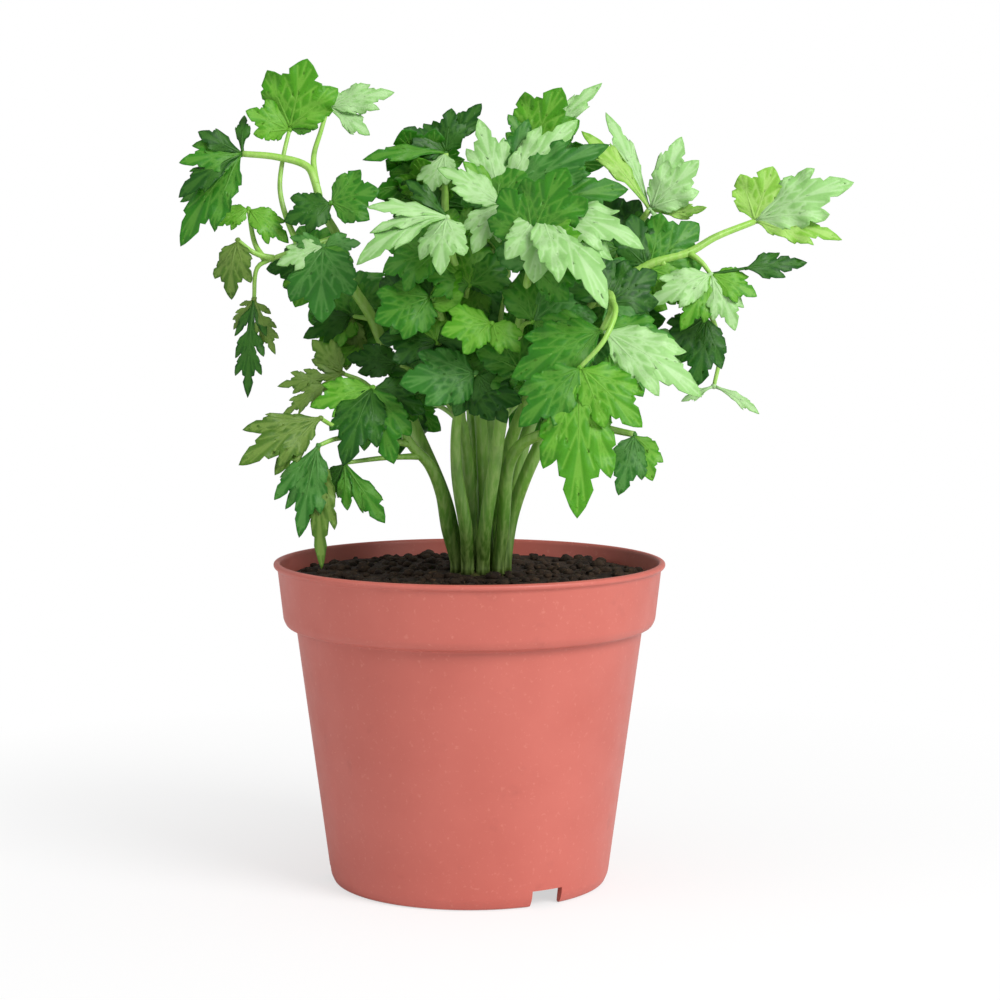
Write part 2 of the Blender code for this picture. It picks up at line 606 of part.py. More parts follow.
def main():
    clear_scene()
    scene = bpy.context.scene
    parts = bpy.data.collections.new(NAME)
    cutters = bpy.data.collections.new("cutters")
    scene.collection.children.link(parts)
    scene.collection.children.link(cutters)
    root = bpy.data.objects.new("pot_axis", None)
    parts.objects.link(root)
    root.location = (AXIS_X * MM, AXIS_Y * MM, 0.0)

    pot_mat = material("pot_plastic", (0.48, 0.125, 0.095), 0.5)
    soil_mat = material("soil", (0.018, 0.012, 0.008), 0.95)
    crown_mat = material("crown", (0.10, 0.14, 0.04), 0.7)
    make_pot(parts, cutters, root, pot_mat)
    make_soil(parts, cutters, root, soil_mat)
    crown = turn_crown("crown", 0.0, parts, root)
    smooth(crown)
    crown.data.materials.append(crown_mat)
    for name, foot, route, branches in STALKS:
        mat = material(name, (0.16, 0.30, 0.045), 0.45)
        make_stalk(name, foot, route, branches, parts, root, mat)
    for name, hub, face, leaflets in SPRAYS:
        mat = material(name, (0.10, 0.27, 0.03), 0.5)
        make_spray(name, hub, face, leaflets, parts, root, mat)


main()
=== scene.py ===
import math
import random

import bmesh
import bpy
import numpy as np
from mathutils import Matrix, Vector, noise
from mathutils.geometry import delaunay_2d_cdt


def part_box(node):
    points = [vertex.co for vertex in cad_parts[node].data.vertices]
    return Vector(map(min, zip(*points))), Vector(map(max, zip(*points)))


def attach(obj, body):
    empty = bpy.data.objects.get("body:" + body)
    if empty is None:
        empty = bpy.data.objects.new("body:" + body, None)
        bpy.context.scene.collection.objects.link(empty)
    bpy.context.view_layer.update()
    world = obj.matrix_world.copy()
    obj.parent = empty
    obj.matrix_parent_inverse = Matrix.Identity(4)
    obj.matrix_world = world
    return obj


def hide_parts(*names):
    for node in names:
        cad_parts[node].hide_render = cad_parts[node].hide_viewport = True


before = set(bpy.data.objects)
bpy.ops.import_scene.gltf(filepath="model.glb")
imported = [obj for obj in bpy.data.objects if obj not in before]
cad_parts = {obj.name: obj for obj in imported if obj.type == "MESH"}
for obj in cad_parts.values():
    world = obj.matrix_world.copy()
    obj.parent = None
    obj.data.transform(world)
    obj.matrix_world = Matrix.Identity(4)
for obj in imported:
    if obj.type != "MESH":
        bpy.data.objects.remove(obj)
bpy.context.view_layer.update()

# The tables are in millimetres from the pot's axis on the standing plane:
# +X to the right, +Y to the back, +Z up.
MM = 0.001
pot_low, pot_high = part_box("pot")
AXIS = Vector(((pot_low.x + pot_high.x) / 2, (pot_low.y + pot_high.y) / 2, 0.0))

# Pot profile in mm, as in the CAD
RIM_R = 65.0
RIM_Z = 107.3
BAND_TOP_R = 63.7
BAND_LOW_R = 61.6
BAND_Z = 86.0
BODY_TOP_R = 57.6
BODY_LOW_R = 46.6
FOOT_R = 45.3
FOOT_INNER_R = 43.7
WALL = 1.2
FLOOR_Z = 6.2
FLOOR_T = 1.3
NOTCH_W = 11.4
NOTCH_H = 5.4
NOTCH_ANGLES = (-57.4, 62.6, 182.6)
HOLE_R = 4.0
HOLE_RING_R = 27.0
HOLES = 4
CUT_DEPTH = 14.0
CUT_R = 46.0
PROFILE_ROUND = 0.9
POT_STEPS = 176
SHARP_ANGLE = math.radians(32)

# Soil and crown in mm
SOIL_Z = 102.0
SOIL_GAP = 0.35
CROWN = (3.6, 2.9)
CROWN_RX = 10.6
CROWN_RY = 13.2
CROWN_TOP_Z = 103.9
ROOT_Z = 72.0
ROOT_R = 3.4
SOIL_STEPS = 150
SOIL_RINGS = 56
CRUMBS = 620
CRUMB_RING_R = 59.0
CRUMB_LIMIT_R = 60.2
SOIL_SEED = 41
CROWN_STEPS = 72

# Stalks and blades in mm
STALK_FOOT_Z = 103.2
STALK_RISE = 4.1
STALK_SIDES = 20
STALK_STEP = 1.8
BRANCH_SIDES = 14
BRANCH_STEP = 1.6
STALK_R = 2.2
STALK_END_R = 1.0
BRANCH_R = 1.0
BRANCH_END_R = 0.66
RIB_DEPTH = 0.05
CUP = 0.16
LATTICE = 1.05
BLADE_HALF_T = 0.15
PUCKER = 0.5
PUCKER_REACH = 1.5
WAVE = 0.9
WAVE_RATE = 0.72
TWIST = 0.16
DROOP = 0.05
VEIN_STEP = 1.4
RIB_DROP = 0.12
HUB_R = 0.95
NO_VEIN = 9.0

# Stalks: name, foot on the crown (x, y), route of the main tube, branches
STALKS = (
    ("stalk_top_left", (-4.0, 2.5),
     ((-8, 4, 127), (-19, 6, 153), (-32, 4, 187), (-39, 0, 199), (-43, -5, 214), (-48, -6, 223),
      (-50, -5, 231), (-53, -3, 237), (-63, -3, 240), (-74, -4, 241)),
     (((-43, -5, 214), (-55, -10, 210), (-64, -9, 207), (-69, -10, 204), (-70, -11, 194)),
      ((-66, -9, 206), (-70, -6, 212), (-72, -6, 223)),
      ((-64, -9, 207), (-70, -12, 209), (-75, -12, 213)),
      ((-55, -10, 210), (-60, -4, 221), (-62, -2, 230), (-61, 0, 240), (-59, 2, 249)),
      ((-50, -5, 231), (-51, 0, 240), (-49, 8, 249), (-47, 14, 257)),
      ((-47, -6, 221), (-45, -10, 225)),
      ((-43, -5, 214), (-45, -12, 213), (-47, -18, 211)),
      ((-32, 4, 187), (-39, 6, 188)))),
    ("stalk_low_left", (-4.2, -2.8),
     ((-7, -5, 118), (-9, -8, 130), (-13, -12, 140), (-19, -16, 147), (-25, -19, 158),
       (-31, -26, 166)),
     (((-25, -19, 158), (-34, -16, 167), (-41, -16, 170)),
      ((-16, -14, 143), (-28, -22, 143), (-40, -29, 142)),
      ((-19, -16, 147), (-32, -26, 150), (-43, -32, 154), (-47, -39, 157)),
      ((-32, -26, 150), (-42, -31, 150), (-48, -35, 148)))),
    ("stalk_front_left", (-0.5, -6.5),
     ((-1, -10, 118), (-4, -14, 138), (-4, -18, 155), (-1, -24, 163), (2, -34, 171)),
     ()),
    ("stalk_front", (4.6, -7.3),
     ((5, -11, 118), (8, -15, 138), (10, -19, 153), (15, -30, 181), (19, -38, 204), (21, -44, 221)),
     (((12, -23, 166), (10, -19, 186), (12, -26, 198)),)),
    ("stalk_front_right", (9.6, -5.6),
     ((11, -7, 118), (12.5, -12, 138), (16, -15, 146), (22, -19, 150), (35, -28, 154),
       (52, -40, 152)),
     ()),
    ("stalk_right", (11.9, -0.6),
     ((14, 0, 121), (18, -3, 134), (24, -6, 148), (34, -10, 171), (45, -14, 196), (58, -14, 205),
      (71, -12, 209), (80, -9, 214), (93, -4, 219)),
     (((71, -12, 209), (75, -14, 206), (78, -15, 202)),
      ((62, -14, 206), (70, -6, 199), (78, -3, 188)),
      ((70, -6, 199), (80, 4, 188), (83, 4, 176), (81, 2, 165)))),
    ("stalk_arch", (8.0, 2.9),
     ((10, 4, 125), (15, -4, 151), (29, -22, 180), (40, -38, 195), (44, -45, 196), (44, -50, 191),
      (41, -52, 185)),
     (((43, -43, 196), (45, -55, 191), (41, -61, 182), (34, -60, 174)),)),
    ("stalk_right_top", (10.6, 7.2),
     ((14, 9, 126), (21, 12, 153), (37, 10, 183), (51, 4, 211), (59, -2, 223)),
     (((24, 12, 160), (31, 27, 186), (34, 40, 204)),
      ((37, 10, 183), (48, 17, 184), (58, 22, 182)))),
    ("stalk_back", (4.6, 8.0),
     ((6, 12, 140), (9, 18, 180), (14, 22, 215), (20, 22, 243)),
     (((11, 18, 193), (14, 8, 210), (16, -8, 222)),
      ((6, 13, 143), (14, 30, 155), (24, 48, 160)))),
    ("stalk_back_left", (-0.6, 7.2),
     ((-3, 12, 150), (-6, 16, 190), (-8, 18, 222), (-8, 16, 242)),
     (((-5, 14, 172), (-20, 26, 190), (-36, 34, 196)),)),
    ("stalk_centre", (2.9, 3.2),
     ((6, -1, 151), (8, -6, 190), (10, -13, 215), (10, -20, 226)),
     (((9, -9, 202), (10, -22, 214), (10, -30, 224)),)),
    ("stalk_centre_left", (5.9, -2.2),
     ((4, -7, 151), (0, -17, 187), (-6, -30, 211), (-7, -34, 220)),
     (((1, -13, 177), (1, -10, 192), (0, -12, 203), (0, -17, 207)),
      ((3, -10, 162), (7, -27, 178), (7, -42, 187)))),
    ("stalk_mid_left", (0.9, -1.7),
     ((-1, -8, 145), (-6, -16, 168), (-9, -24, 188), (-12, -30, 195)),
     (((-3, -11, 155), (-14, -13, 168), (-23, -14, 173)),)),
    ("stalk_far_back", (3.0, 13.0),
     ((2, 20, 140), (-1, 32, 180), (-3, 42, 206), (-4, 48, 216)),
     (((2, 22, 146), (-10, 36, 156), (-26, 46, 158)),)),
)

# Sprays: name, hub, facing of the blades, leaflets (kind, tip, width / length, arch)
SPRAYS = (
    ("leaf_top_left", (-59, 2, 249), (-0.1, -1.0, 0.2),
     (("tri", (-53, 0, 272), 0.95, 0.05), ("tri", (-73, -2, 255), 0.75, 0.05),
      ("tri", (-48, 4, 255), 0.60, 0.05))),
    ("leaf_far_left", (-74, -4, 241), (-0.4, -1.0, 0.3),
     (("finger", (-88, -8, 248), 0.45, 0.06), ("tri", (-94, -10, 238), 0.50, 0.06),
      ("finger", (-94, -13, 227), 0.35, 0.08), ("tri", (-94, -9, 211), 0.42, 0.10),
      ("finger", (-74, 2, 254), 0.35, 0.05))),
    ("leaf_pale_top", (-47, 14, 257), (0.1, -1.0, 0.5),
     (("tri", (-25, 18, 262), 0.40, 0.08), ("finger", (-33, 14, 248), 0.45, 0.06))),
    ("leaf_by_stalk", (-45, -10, 225), (0.1, -1.0, 0.4),
     (("tri", (-29, -11, 229), 1.0, 0.08), ("tri", (-60, -12, 219), 0.75, 0.06))),
    ("leaf_left_fold", (-72, -6, 223), (0.2, -0.9, 0.5),
     (("tri", (-59, -6, 212), 0.55, 0.10), ("tri", (-83, -8, 218), 0.60, 0.08))),
    ("leaf_olive_left", (-75, -12, 213), (-0.4, -1.0, 0.2),
     (("tri", (-77, -17, 194), 0.60, 0.10),)),
    ("leaf_hang_left", (-70, -11, 194), (-0.1, -1.0, 0.2),
     (("serr", (-63, -14, 176), 0.40, 0.08), ("serr", (-77, -10, 184), 0.45, 0.06),
      ("serr", (-72, -15, 162), 0.32, 0.08))),
    ("leaf_left_palm", (-47, -18, 211), (-0.1, -1.0, 0.4),
     (("tri", (-47, -30, 187), 0.75, 0.08), ("tri", (-62, -20, 205), 0.55, 0.06),
      ("tri", (-58, -16, 214), 0.45, 0.05), ("tri", (-35, -16, 212), 0.60, 0.06),
      ("tri", (-38, -22, 200), 0.60, 0.06))),
    ("leaf_mid_left", (-39, 6, 188), (-0.2, -1.0, 0.3),
     (("tri", (-55, 2, 181), 0.50, 0.08), ("tri", (-41, 4, 170), 0.60, 0.06),
      ("tri", (-28, 10, 200), 0.55, 0.05))),
    ("leaf_serrated_left", (-41, -16, 170), (-0.2, -1.0, 0.2),
     (("tri", (-51, -16, 181), 0.60, 0.06), ("serr", (-62, -20, 166), 0.40, 0.06),
      ("serr", (-61, -24, 156), 0.28, 0.08))),
    ("leaf_low_fan", (-31, -26, 166), (-0.1, -1.0, 0.3),
     (("tri", (-51, -29, 160), 0.50, 0.06), ("tri", (-40, -38, 142), 0.55, 0.08),
      ("tri", (-24, -34, 142), 0.60, 0.08), ("tri", (-14, -26, 158), 0.70, 0.05))),
    ("leaf_low_hang", (-40, -29, 142), (-0.1, -1.0, 0.2),
     (("finger", (-27, -33, 123), 0.35, 0.06), ("finger", (-39, -32, 127), 0.40, 0.05),
      ("tri", (-47, -28, 129), 0.50, 0.05))),
    ("leaf_olive_fingers", (-47, -39, 157), (-0.3, -1.0, 0.3),
     (("finger", (-71, -46, 154), 0.28, 0.06), ("tri", (-72, -50, 143), 0.42, 0.08),
      ("finger", (-61, -48, 140), 0.35, 0.08))),
    ("leaf_over_rim", (-48, -35, 148), (-0.2, -1.0, 0.1),
     (("finger", (-62, -38, 131), 0.30, 0.06), ("tri", (-54, -39, 119), 0.36, 0.06),
      ("tri", (-47, -40, 109), 0.24, 0.03))),
    ("leaf_pale_left", (-7, -34, 220), (-0.2, -0.9, 0.8),
     (("finger", (-32, -42, 223), 0.30, 0.08), ("finger", (-31, -46, 215), 0.25, 0.10),
      ("finger", (-35, -50, 206), 0.30, 0.12), ("tri", (-9, -46, 202), 0.62, 0.12),
      ("finger", (-20, -32, 232), 0.35, 0.05))),
    ("leaf_pale_centre", (10, -30, 224), (0.0, -0.9, 0.7),
     (("tri", (-10, -31, 236), 0.45, 0.06), ("tri", (1, -41, 209), 0.62, 0.12),
      ("finger", (13, -38, 211), 0.40, 0.08))),
    ("leaf_crest", (10, -20, 226), (0.1, -1.0, 0.4),
     (("tri", (3, -14, 252), 0.45, 0.05), ("finger", (19, -10, 252), 0.35, 0.05),
      ("tri", (35, -12, 252), 0.38, 0.08), ("tri", (45, -16, 244), 0.36, 0.10),
      ("finger", (-2, -22, 238), 0.40, 0.05))),
    ("leaf_under_crest", (16, -8, 222), (0.2, -1.0, 0.5),
     (("tri", (52, -4, 230), 0.50, 0.10), ("tri", (37, -12, 214), 0.60, 0.10),
      ("tri", (29, 0, 240), 0.60, 0.05))),
    ("leaf_pale_right", (21, -44, 221), (0.2, -0.9, 0.7),
     (("tri", (20, -55, 200), 0.74, 0.12), ("tri", (42, -62, 192), 0.50, 0.14),
      ("tri", (54, -53, 211), 0.42, 0.12))),
    ("leaf_top_back", (20, 22, 243), (0.1, -0.9, 0.5),
     (("tri", (31, 22, 264), 0.85, 0.06), ("tri", (13, 20, 255), 0.60, 0.05),
      ("finger", (45, 32, 266), 0.20, 0.06))),
    ("leaf_dark_top", (-8, 16, 242), (-0.1, -0.9, 0.5),
     (("tri", (-22, 14, 250), 0.70, 0.06), ("tri", (-6, 18, 257), 0.70, 0.05),
      ("finger", (4, 22, 259), 0.40, 0.05), ("oval", (-14, 8, 228), 0.70, 0.05),
      ("finger", (-35, 6, 240), 0.24, 0.08))),
    ("leaf_right_cluster", (59, -2, 223), (0.3, -1.0, 0.4),
     (("tri", (75, -3, 239), 0.60, 0.08), ("finger", (70, 6, 247), 0.35, 0.06),
      ("finger", (37, 4, 249), 0.24, 0.08), ("finger", (45, 10, 255), 0.20, 0.05),
      ("finger", (77, -8, 224), 0.25, -0.18), ("finger", (68, -10, 208), 0.35, 0.10))),
    ("leaf_far_right", (93, -4, 219), (0.1, -0.9, 0.5),
     (("tri", (99, -4, 237), 0.95, 0.06), ("tri", (125, -7, 232), 0.48, 0.10),
      ("tri", (121, -10, 213), 0.34, 0.10))),
    ("leaf_right_mid", (78, -15, 202), (0.2, -1.0, 0.4),
     (("tri", (57, -22, 192), 0.45, 0.12), ("tri", (68, -20, 184), 0.50, 0.08),
      ("tri", (86, -18, 184), 0.55, 0.08), ("tri", (93, -16, 195), 0.60, 0.06),
      ("stalked", (110, -10, 206), 0.30, 0.05))),
    ("leaf_dark_right", (78, -3, 188), (0.2, -1.0, 0.2),
     (("tri", (74, -8, 165), 0.60, 0.08), ("tri", (62, -10, 178), 0.55, 0.06))),
    ("leaf_thin_right", (81, 2, 165), (0.2, -0.9, 0.5),
     (("finger", (96, 0, 156), 0.24, 0.08), ("finger", (70, 0, 160), 0.28, 0.06))),
    ("leaf_front_big", (34, -60, 174), (0.0, -1.0, 0.3),
     (("tri", (33, -66, 128), 0.44, 0.05), ("tri", (15, -64, 156), 0.55, 0.06),
      ("tri", (53, -64, 156), 0.62, 0.06))),
    ("leaf_front_pair", (41, -52, 185), (0.0, -1.0, 0.5),
     (("tri", (13, -54, 170), 0.58, 0.10), ("finger", (22, -48, 189), 0.40, 0.05),
      ("tri", (72, -56, 165), 0.45, 0.10), ("tri", (64, -48, 182), 0.50, 0.08))),
    ("leaf_low_pair", (52, -40, 152), (0.2, -1.0, 0.2),
     (("tri", (47, -44, 133), 0.55, 0.05), ("tri", (58, -38, 137), 0.65, 0.06))),
    ("leaf_mid_round", (-12, -30, 195), (-0.2, -1.0, 0.4),
     (("oval", (-30, -34, 187), 1.05, 0.08),)),
    ("leaf_bright_mid", (7, -42, 187), (0.0, -1.0, 0.5),
     (("tri", (-9, -46, 184), 0.85, 0.08), ("tri", (16, -44, 178), 0.75, 0.06))),
    ("leaf_low_round", (2, -34, 171), (0.0, -1.0, 0.3),
     (("oval", (-22, -40, 168), 0.80, 0.08), ("oval", (12, -34, 155), 0.65, 0.05))),
    ("leaf_mid_dark", (0, -17, 207), (0.1, -1.0, 0.3),
     (("oval", (10, -19, 188), 0.60, 0.06),)),
    ("leaf_mid_right", (12, -26, 198), (0.1, -1.0, 0.4),
     (("tri", (31, -31, 195), 0.75, 0.08), ("tri", (24, -26, 184), 0.60, 0.05))),
    ("leaf_dark_mid", (-23, -14, 173), (-0.1, -1.0, 0.3),
     (("oval", (-40, -10, 175), 0.65, 0.06),)),
    ("leaf_back_left", (-36, 34, 196), (-0.3, 0.6, 0.8),
     (("tri", (-56, 46, 186), 0.70, 0.10), ("tri", (-44, 60, 200), 0.70, 0.12),
      ("tri", (-24, 56, 184), 0.75, 0.10))),
    ("leaf_back_mid", (-4, 48, 216), (0.0, 0.6, 0.9),
     (("tri", (-24, 60, 214), 0.70, 0.10), ("tri", (0, 76, 204), 0.75, 0.12),
      ("tri", (18, 64, 218), 0.70, 0.10), ("tri", (-6, 52, 240), 0.60, 0.05))),
    ("leaf_back_right", (34, 40, 204), (0.4, 0.6, 0.8),
     (("tri", (57, 46, 196), 0.70, 0.10), ("tri", (46, 64, 202), 0.70, 0.12),
      ("tri", (22, 60, 192), 0.75, 0.10))),
    ("leaf_back_low_left", (-26, 46, 158), (-0.2, 1.0, 0.3),
     (("tri", (-44, 56, 148), 0.70, 0.08), ("tri", (-27, 64, 136), 0.70, 0.08),
      ("tri", (-10, 58, 146), 0.70, 0.08))),
    ("leaf_back_low_right", (24, 48, 160), (0.2, 1.0, 0.3),
     (("tri", (42, 58, 150), 0.70, 0.08), ("tri", (26, 68, 138), 0.70, 0.08),
      ("tri", (7, 62, 152), 0.70, 0.08))),
    ("leaf_side_right", (58, 22, 182), (0.6, -0.2, 0.8),
     (("tri", (78, 24, 176), 0.70, 0.10), ("tri", (64, 42, 172), 0.70, 0.10))),
)

# One tone letter for each leaflet of a spray; the P, Y and D letters put painted sheen, painted
# backlight and painted shade on that leaflet.
TONES = {
    "leaf_top_left": "BBM", "leaf_far_left": "DMDMD", "leaf_pale_top": "PP",
    "leaf_by_stalk": "MD", "leaf_left_fold": "BB", "leaf_olive_left": "O",
    "leaf_hang_left": "OOD", "leaf_left_palm": "SPSSM", "leaf_mid_left": "DOM",
    "leaf_serrated_left": "OOO", "leaf_low_fan": "BDMD", "leaf_low_hang": "MMD",
    "leaf_olive_fingers": "OOO", "leaf_over_rim": "SSO", "leaf_pale_left": "PPPPD",
    "leaf_pale_centre": "PPP", "leaf_crest": "PSPSB", "leaf_under_crest": "MDM",
    "leaf_pale_right": "PPP", "leaf_top_back": "BMP", "leaf_dark_top": "DDDPM",
    "leaf_right_cluster": "PPYPYP", "leaf_far_right": "YPY", "leaf_right_mid": "PBPBD",
    "leaf_dark_right": "DD", "leaf_thin_right": "PP", "leaf_front_big": "BMB",
    "leaf_front_pair": "MMPM", "leaf_low_pair": "SB", "leaf_mid_round": "M",
    "leaf_bright_mid": "BB", "leaf_low_round": "SD", "leaf_mid_dark": "S",
    "leaf_mid_right": "MM", "leaf_dark_mid": "D", "leaf_back_left": "MMD",
    "leaf_back_mid": "MBMD", "leaf_back_right": "MMD", "leaf_back_low_left": "MDM",
    "leaf_back_low_right": "DMM", "leaf_side_right": "MB",
}

# Tone: deep colour, light colour, vein colour (display values 0 to 255). The P tone is pale green
# with a painted sheen, Y is yellow green with painted backlight, and D is dark green with painted
# shade.
GREENS = {
    "P": ((130, 186, 98), (180, 226, 150), (210, 240, 188)),
    "B": ((62, 142, 16), (98, 174, 30), (146, 206, 78)),
    "M": ((38, 114, 16), (68, 148, 30), (116, 178, 66)),
    "D": ((16, 70, 6), (34, 102, 14), (78, 136, 44)),
    "S": ((34, 104, 24), (64, 138, 44), (112, 172, 86)),
    "O": ((62, 100, 24), (100, 140, 46), (144, 174, 84)),
    "Y": ((120, 184, 50), (170, 220, 96), (202, 236, 142)),
}


# Heights of the small filler leaflets along some stalks
FILL_AT = {
    "stalk_front": (168, 184, 199, 211), "stalk_centre": (166, 181, 196, 208, 219),
    "stalk_centre_left": (164, 178, 193, 206), "stalk_mid_left": (162, 176, 188),
    "stalk_back": (172, 188, 203, 218, 231), "stalk_back_left": (170, 186, 202, 217, 230),
    "stalk_right_top": (168, 180, 192, 204), "stalk_arch": (168, 180, 190),
    "stalk_top_left": (172, 186, 200), "stalk_right": (172, 186, 198),
    "stalk_front_left": (162,), "stalk_far_back": (172, 190, 206),
}
FILL_MIDDLE = (8.0, -4.0)
FILL_BACK_Y = 14.0
FILL_LOW_Z = 156.0
# Among the filler tones, D is the dark green with painted shade
FILL_TONES = "BMDS"
FILL_DRAW = "BMMMDS"
FILL_FAN = (0.0, 1.15, -1.15)
FILL_HUB_R = 0.8
FILL_SIDES = 12

# Floor, camera and lamps
FLOOR_HALF = 4.0
FLOOR_DROP = 0.0002
SHADOW_NEAR = 0.05
SHADOW_FAR = 0.34
SHADOW_WHITE = 0.62
WORLD_GREY = 0.70
WORLD_STRENGTH = 0.72
CAMERA_AT = (0.0, -850.0, 210.8)
CAMERA_DOWN = 0.098
CAMERA_LENS = 92.66
CAMERA_SHIFT_X = 0.0306
LAMP_AIM = (0.0, 0.0, 0.13)


def linear(rgb):
    """Display colour (0 to 255) as linear light."""
    out = []
    for v in rgb:
        c = v / 255.0
        out.append(c / 12.92 if c <= 0.04045 else ((c + 0.055) / 1.055) ** 2.4)
    return (*out, 1.0)


def place(p):
    """A point of the tables in the frame, in metres."""
    return Vector((p[0], p[1], p[2])) * MM + AXIS


def new_object(name, data):
    obj = bpy.data.objects.new(name, data)
    bpy.context.scene.collection.objects.link(obj)
    return obj


# ---------------------------------------------------------------- materials

class Nodes:
    """Small helper around a material's node tree."""

    def __init__(self, name):
        self.mat = bpy.data.materials.new(name)
        self.mat.use_nodes = True
        self.tree = self.mat.node_tree
        self.shader = self.tree.nodes["Principled BSDF"]
        self.out = self.tree.nodes["Material Output"]
        self.where = self.add("ShaderNodeTexCoord").outputs["Object"]

    def add(self, kind):
        return self.tree.nodes.new(kind)

    def link(self, a, b):
        self.tree.links.new(a, b)

    def noise(self, scale, detail=4.0, rough=0.55, where=None):
        node = self.add("ShaderNodeTexNoise")
        node.inputs["Scale"].default_value = scale
        node.inputs["Detail"].default_value = detail
        node.inputs["Roughness"].default_value = rough
        self.link(where or self.where, node.inputs["Vector"])
        return node.outputs["Fac"]

    def span(self, value, low, high, to_low=0.0, to_high=1.0):
        node = self.add("ShaderNodeMapRange")
        node.inputs["From Min"].default_value = low
        node.inputs["From Max"].default_value = high
        node.inputs["To Min"].default_value = to_low
        node.inputs["To Max"].default_value = to_high
        self.link(value, node.inputs["Value"])
        return node.outputs["Result"]

    def mix(self, share, a, b):
        node = self.add("ShaderNodeMix")
        node.data_type = "RGBA"
        node.clamp_factor = True
        for value, slot in ((share, 0), (a, 6), (b, 7)):
            if isinstance(value, (tuple, float)):
                node.inputs[slot].default_value = value
            else:
                self.link(value, node.inputs[slot])
        return node.outputs[2]

    def attribute(self, name):
        node = self.add("ShaderNodeAttribute")
        node.attribute_name = name
        return node.outputs["Fac"]

    def bump(self, height, strength, distance, base=None):
        node = self.add("ShaderNodeBump")
        node.inputs["Strength"].default_value = strength
        node.inputs["Distance"].default_value = distance
        self.link(height, node.inputs["Height"])
        if base is not None:
            self.link(base, node.inputs["Normal"])
        return node.outputs["Normal"]

    def surface(self, colour, rough, normal, specular=0.5):
        self.link(colour, self.shader.inputs["Base Color"])
        self.link(rough, self.shader.inputs["Roughness"])
        self.link(normal, self.shader.inputs["Normal"])
        self.shader.inputs["Specular IOR Level"].default_value = specular
        return self.mat


def leaf_material(tone):
    # For tones P, Y and D these colours hold painted sheen, painted backlight and painted shade
    deep, light, vein = (linear(c) for c in GREENS[tone])
    n = Nodes("leaf_" + tone.lower())
    patch = n.span(n.noise(60.0, 3.0), 0.25, 0.75)
    tint = n.attribute("tint")
    base = n.mix(patch, deep, light)
    base = n.mix(n.span(tint, 0.0, 1.0, 0.0, 0.4), base, deep)
    grain = n.span(n.noise(900.0, 3.0), 0.35, 0.7, 0.0, 0.22)
    base = n.mix(grain, base, light)
    near = n.span(n.attribute("vein"), 0.0, 0.6, 0.5, 0.0)
    colour = n.mix(near, base, vein)
    rough = n.span(n.noise(160.0), 0.3, 0.7, 0.40, 0.58)
    ridge = n.bump(n.span(n.attribute("vein"), 0.0, 1.6), 0.5, 0.0003)
    normal = n.bump(n.noise(1300.0, 2.0), 0.25, 0.00012, ridge)
    n.surface(colour, rough, normal, 0.34)
    glow = n.add("ShaderNodeBsdfTranslucent")
    n.link(n.mix(0.45, colour, linear((130, 200, 20))), glow.inputs["Color"])
    n.link(normal, glow.inputs["Normal"])
    both = n.add("ShaderNodeMixShader")
    both.inputs[0].default_value = 0.34
    n.link(n.shader.outputs[0], both.inputs[1])
    n.link(glow.outputs[0], both.inputs[2])
    n.link(both.outputs[0], n.out.inputs["Surface"])
    return n.mat


def stalk_material():
    n = Nodes("stalk_green")
    split = n.add("ShaderNodeSeparateXYZ")
    n.link(n.where, split.inputs[0])
    low = n.span(split.outputs["Z"], 0.102, 0.122)
    high = n.span(split.outputs["Z"], 0.116, 0.160)
    base = n.mix(low, linear((60, 74, 22)), linear((82, 138, 36)))
    base = n.mix(high, base, linear((134, 186, 70)))
    flow = n.add("ShaderNodeMapping")
    flow.inputs["Scale"].default_value = (1.0, 1.0, 0.12)
    n.link(n.where, flow.inputs["Vector"])
    streak = n.span(n.noise(900.0, 3.0, where=flow.outputs[0]), 0.4, 0.65, 0.0, 0.45)
    colour = n.mix(streak, base, linear((168, 198, 112)))
    spots = n.span(n.noise(110.0, 3.0), 0.55, 0.75, 0.0, 0.5)
    colour = n.mix(spots, colour, linear((74, 110, 40)))
    rough = n.span(n.noise(300.0), 0.3, 0.7, 0.36, 0.52)
    normal = n.bump(n.noise(900.0, 3.0, where=flow.outputs[0]), 0.3, 0.0002)
    n.surface(colour, rough, normal, 0.5)
    return n.mat


def pot_material():
    n = Nodes("pot_plastic")
    cloud = n.span(n.noise(26.0, 4.0), 0.3, 0.7)
    base = n.mix(cloud, linear((180, 90, 78)), linear((190, 100, 88)))
    fleck = n.span(n.noise(700.0, 2.0), 0.62, 0.74, 0.0, 0.28)
    colour = n.mix(fleck, base, linear((208, 134, 120)))
    dirt = n.span(n.noise(120.0, 5.0), 0.64, 0.78, 0.0, 0.24)
    colour = n.mix(dirt, colour, linear((146, 70, 60)))
    rough = n.span(n.noise(90.0), 0.3, 0.7, 0.40, 0.52)
    fine = n.bump(n.noise(1500.0, 2.0), 0.18, 0.00008)
    normal = n.bump(n.noise(60.0, 2.0), 0.2, 0.0004, fine)
    return n.surface(colour, rough, normal, 0.45)


def soil_material():
    n = Nodes("soil_peat")
    lump = n.span(n.noise(260.0, 6.0, 0.65), 0.35, 0.68)
    base = n.mix(lump, linear((24, 17, 12)), linear((62, 47, 34)))
    fibre = n.span(n.noise(900.0, 3.0), 0.62, 0.72, 0.0, 0.6)
    colour = n.mix(fibre, base, linear((104, 80, 56)))
    rough = n.span(n.noise(400.0), 0.3, 0.7, 0.82, 0.98)
    normal = n.bump(n.noise(700.0, 5.0, 0.7), 0.8, 0.0008)
    return n.surface(colour, rough, normal, 0.25)


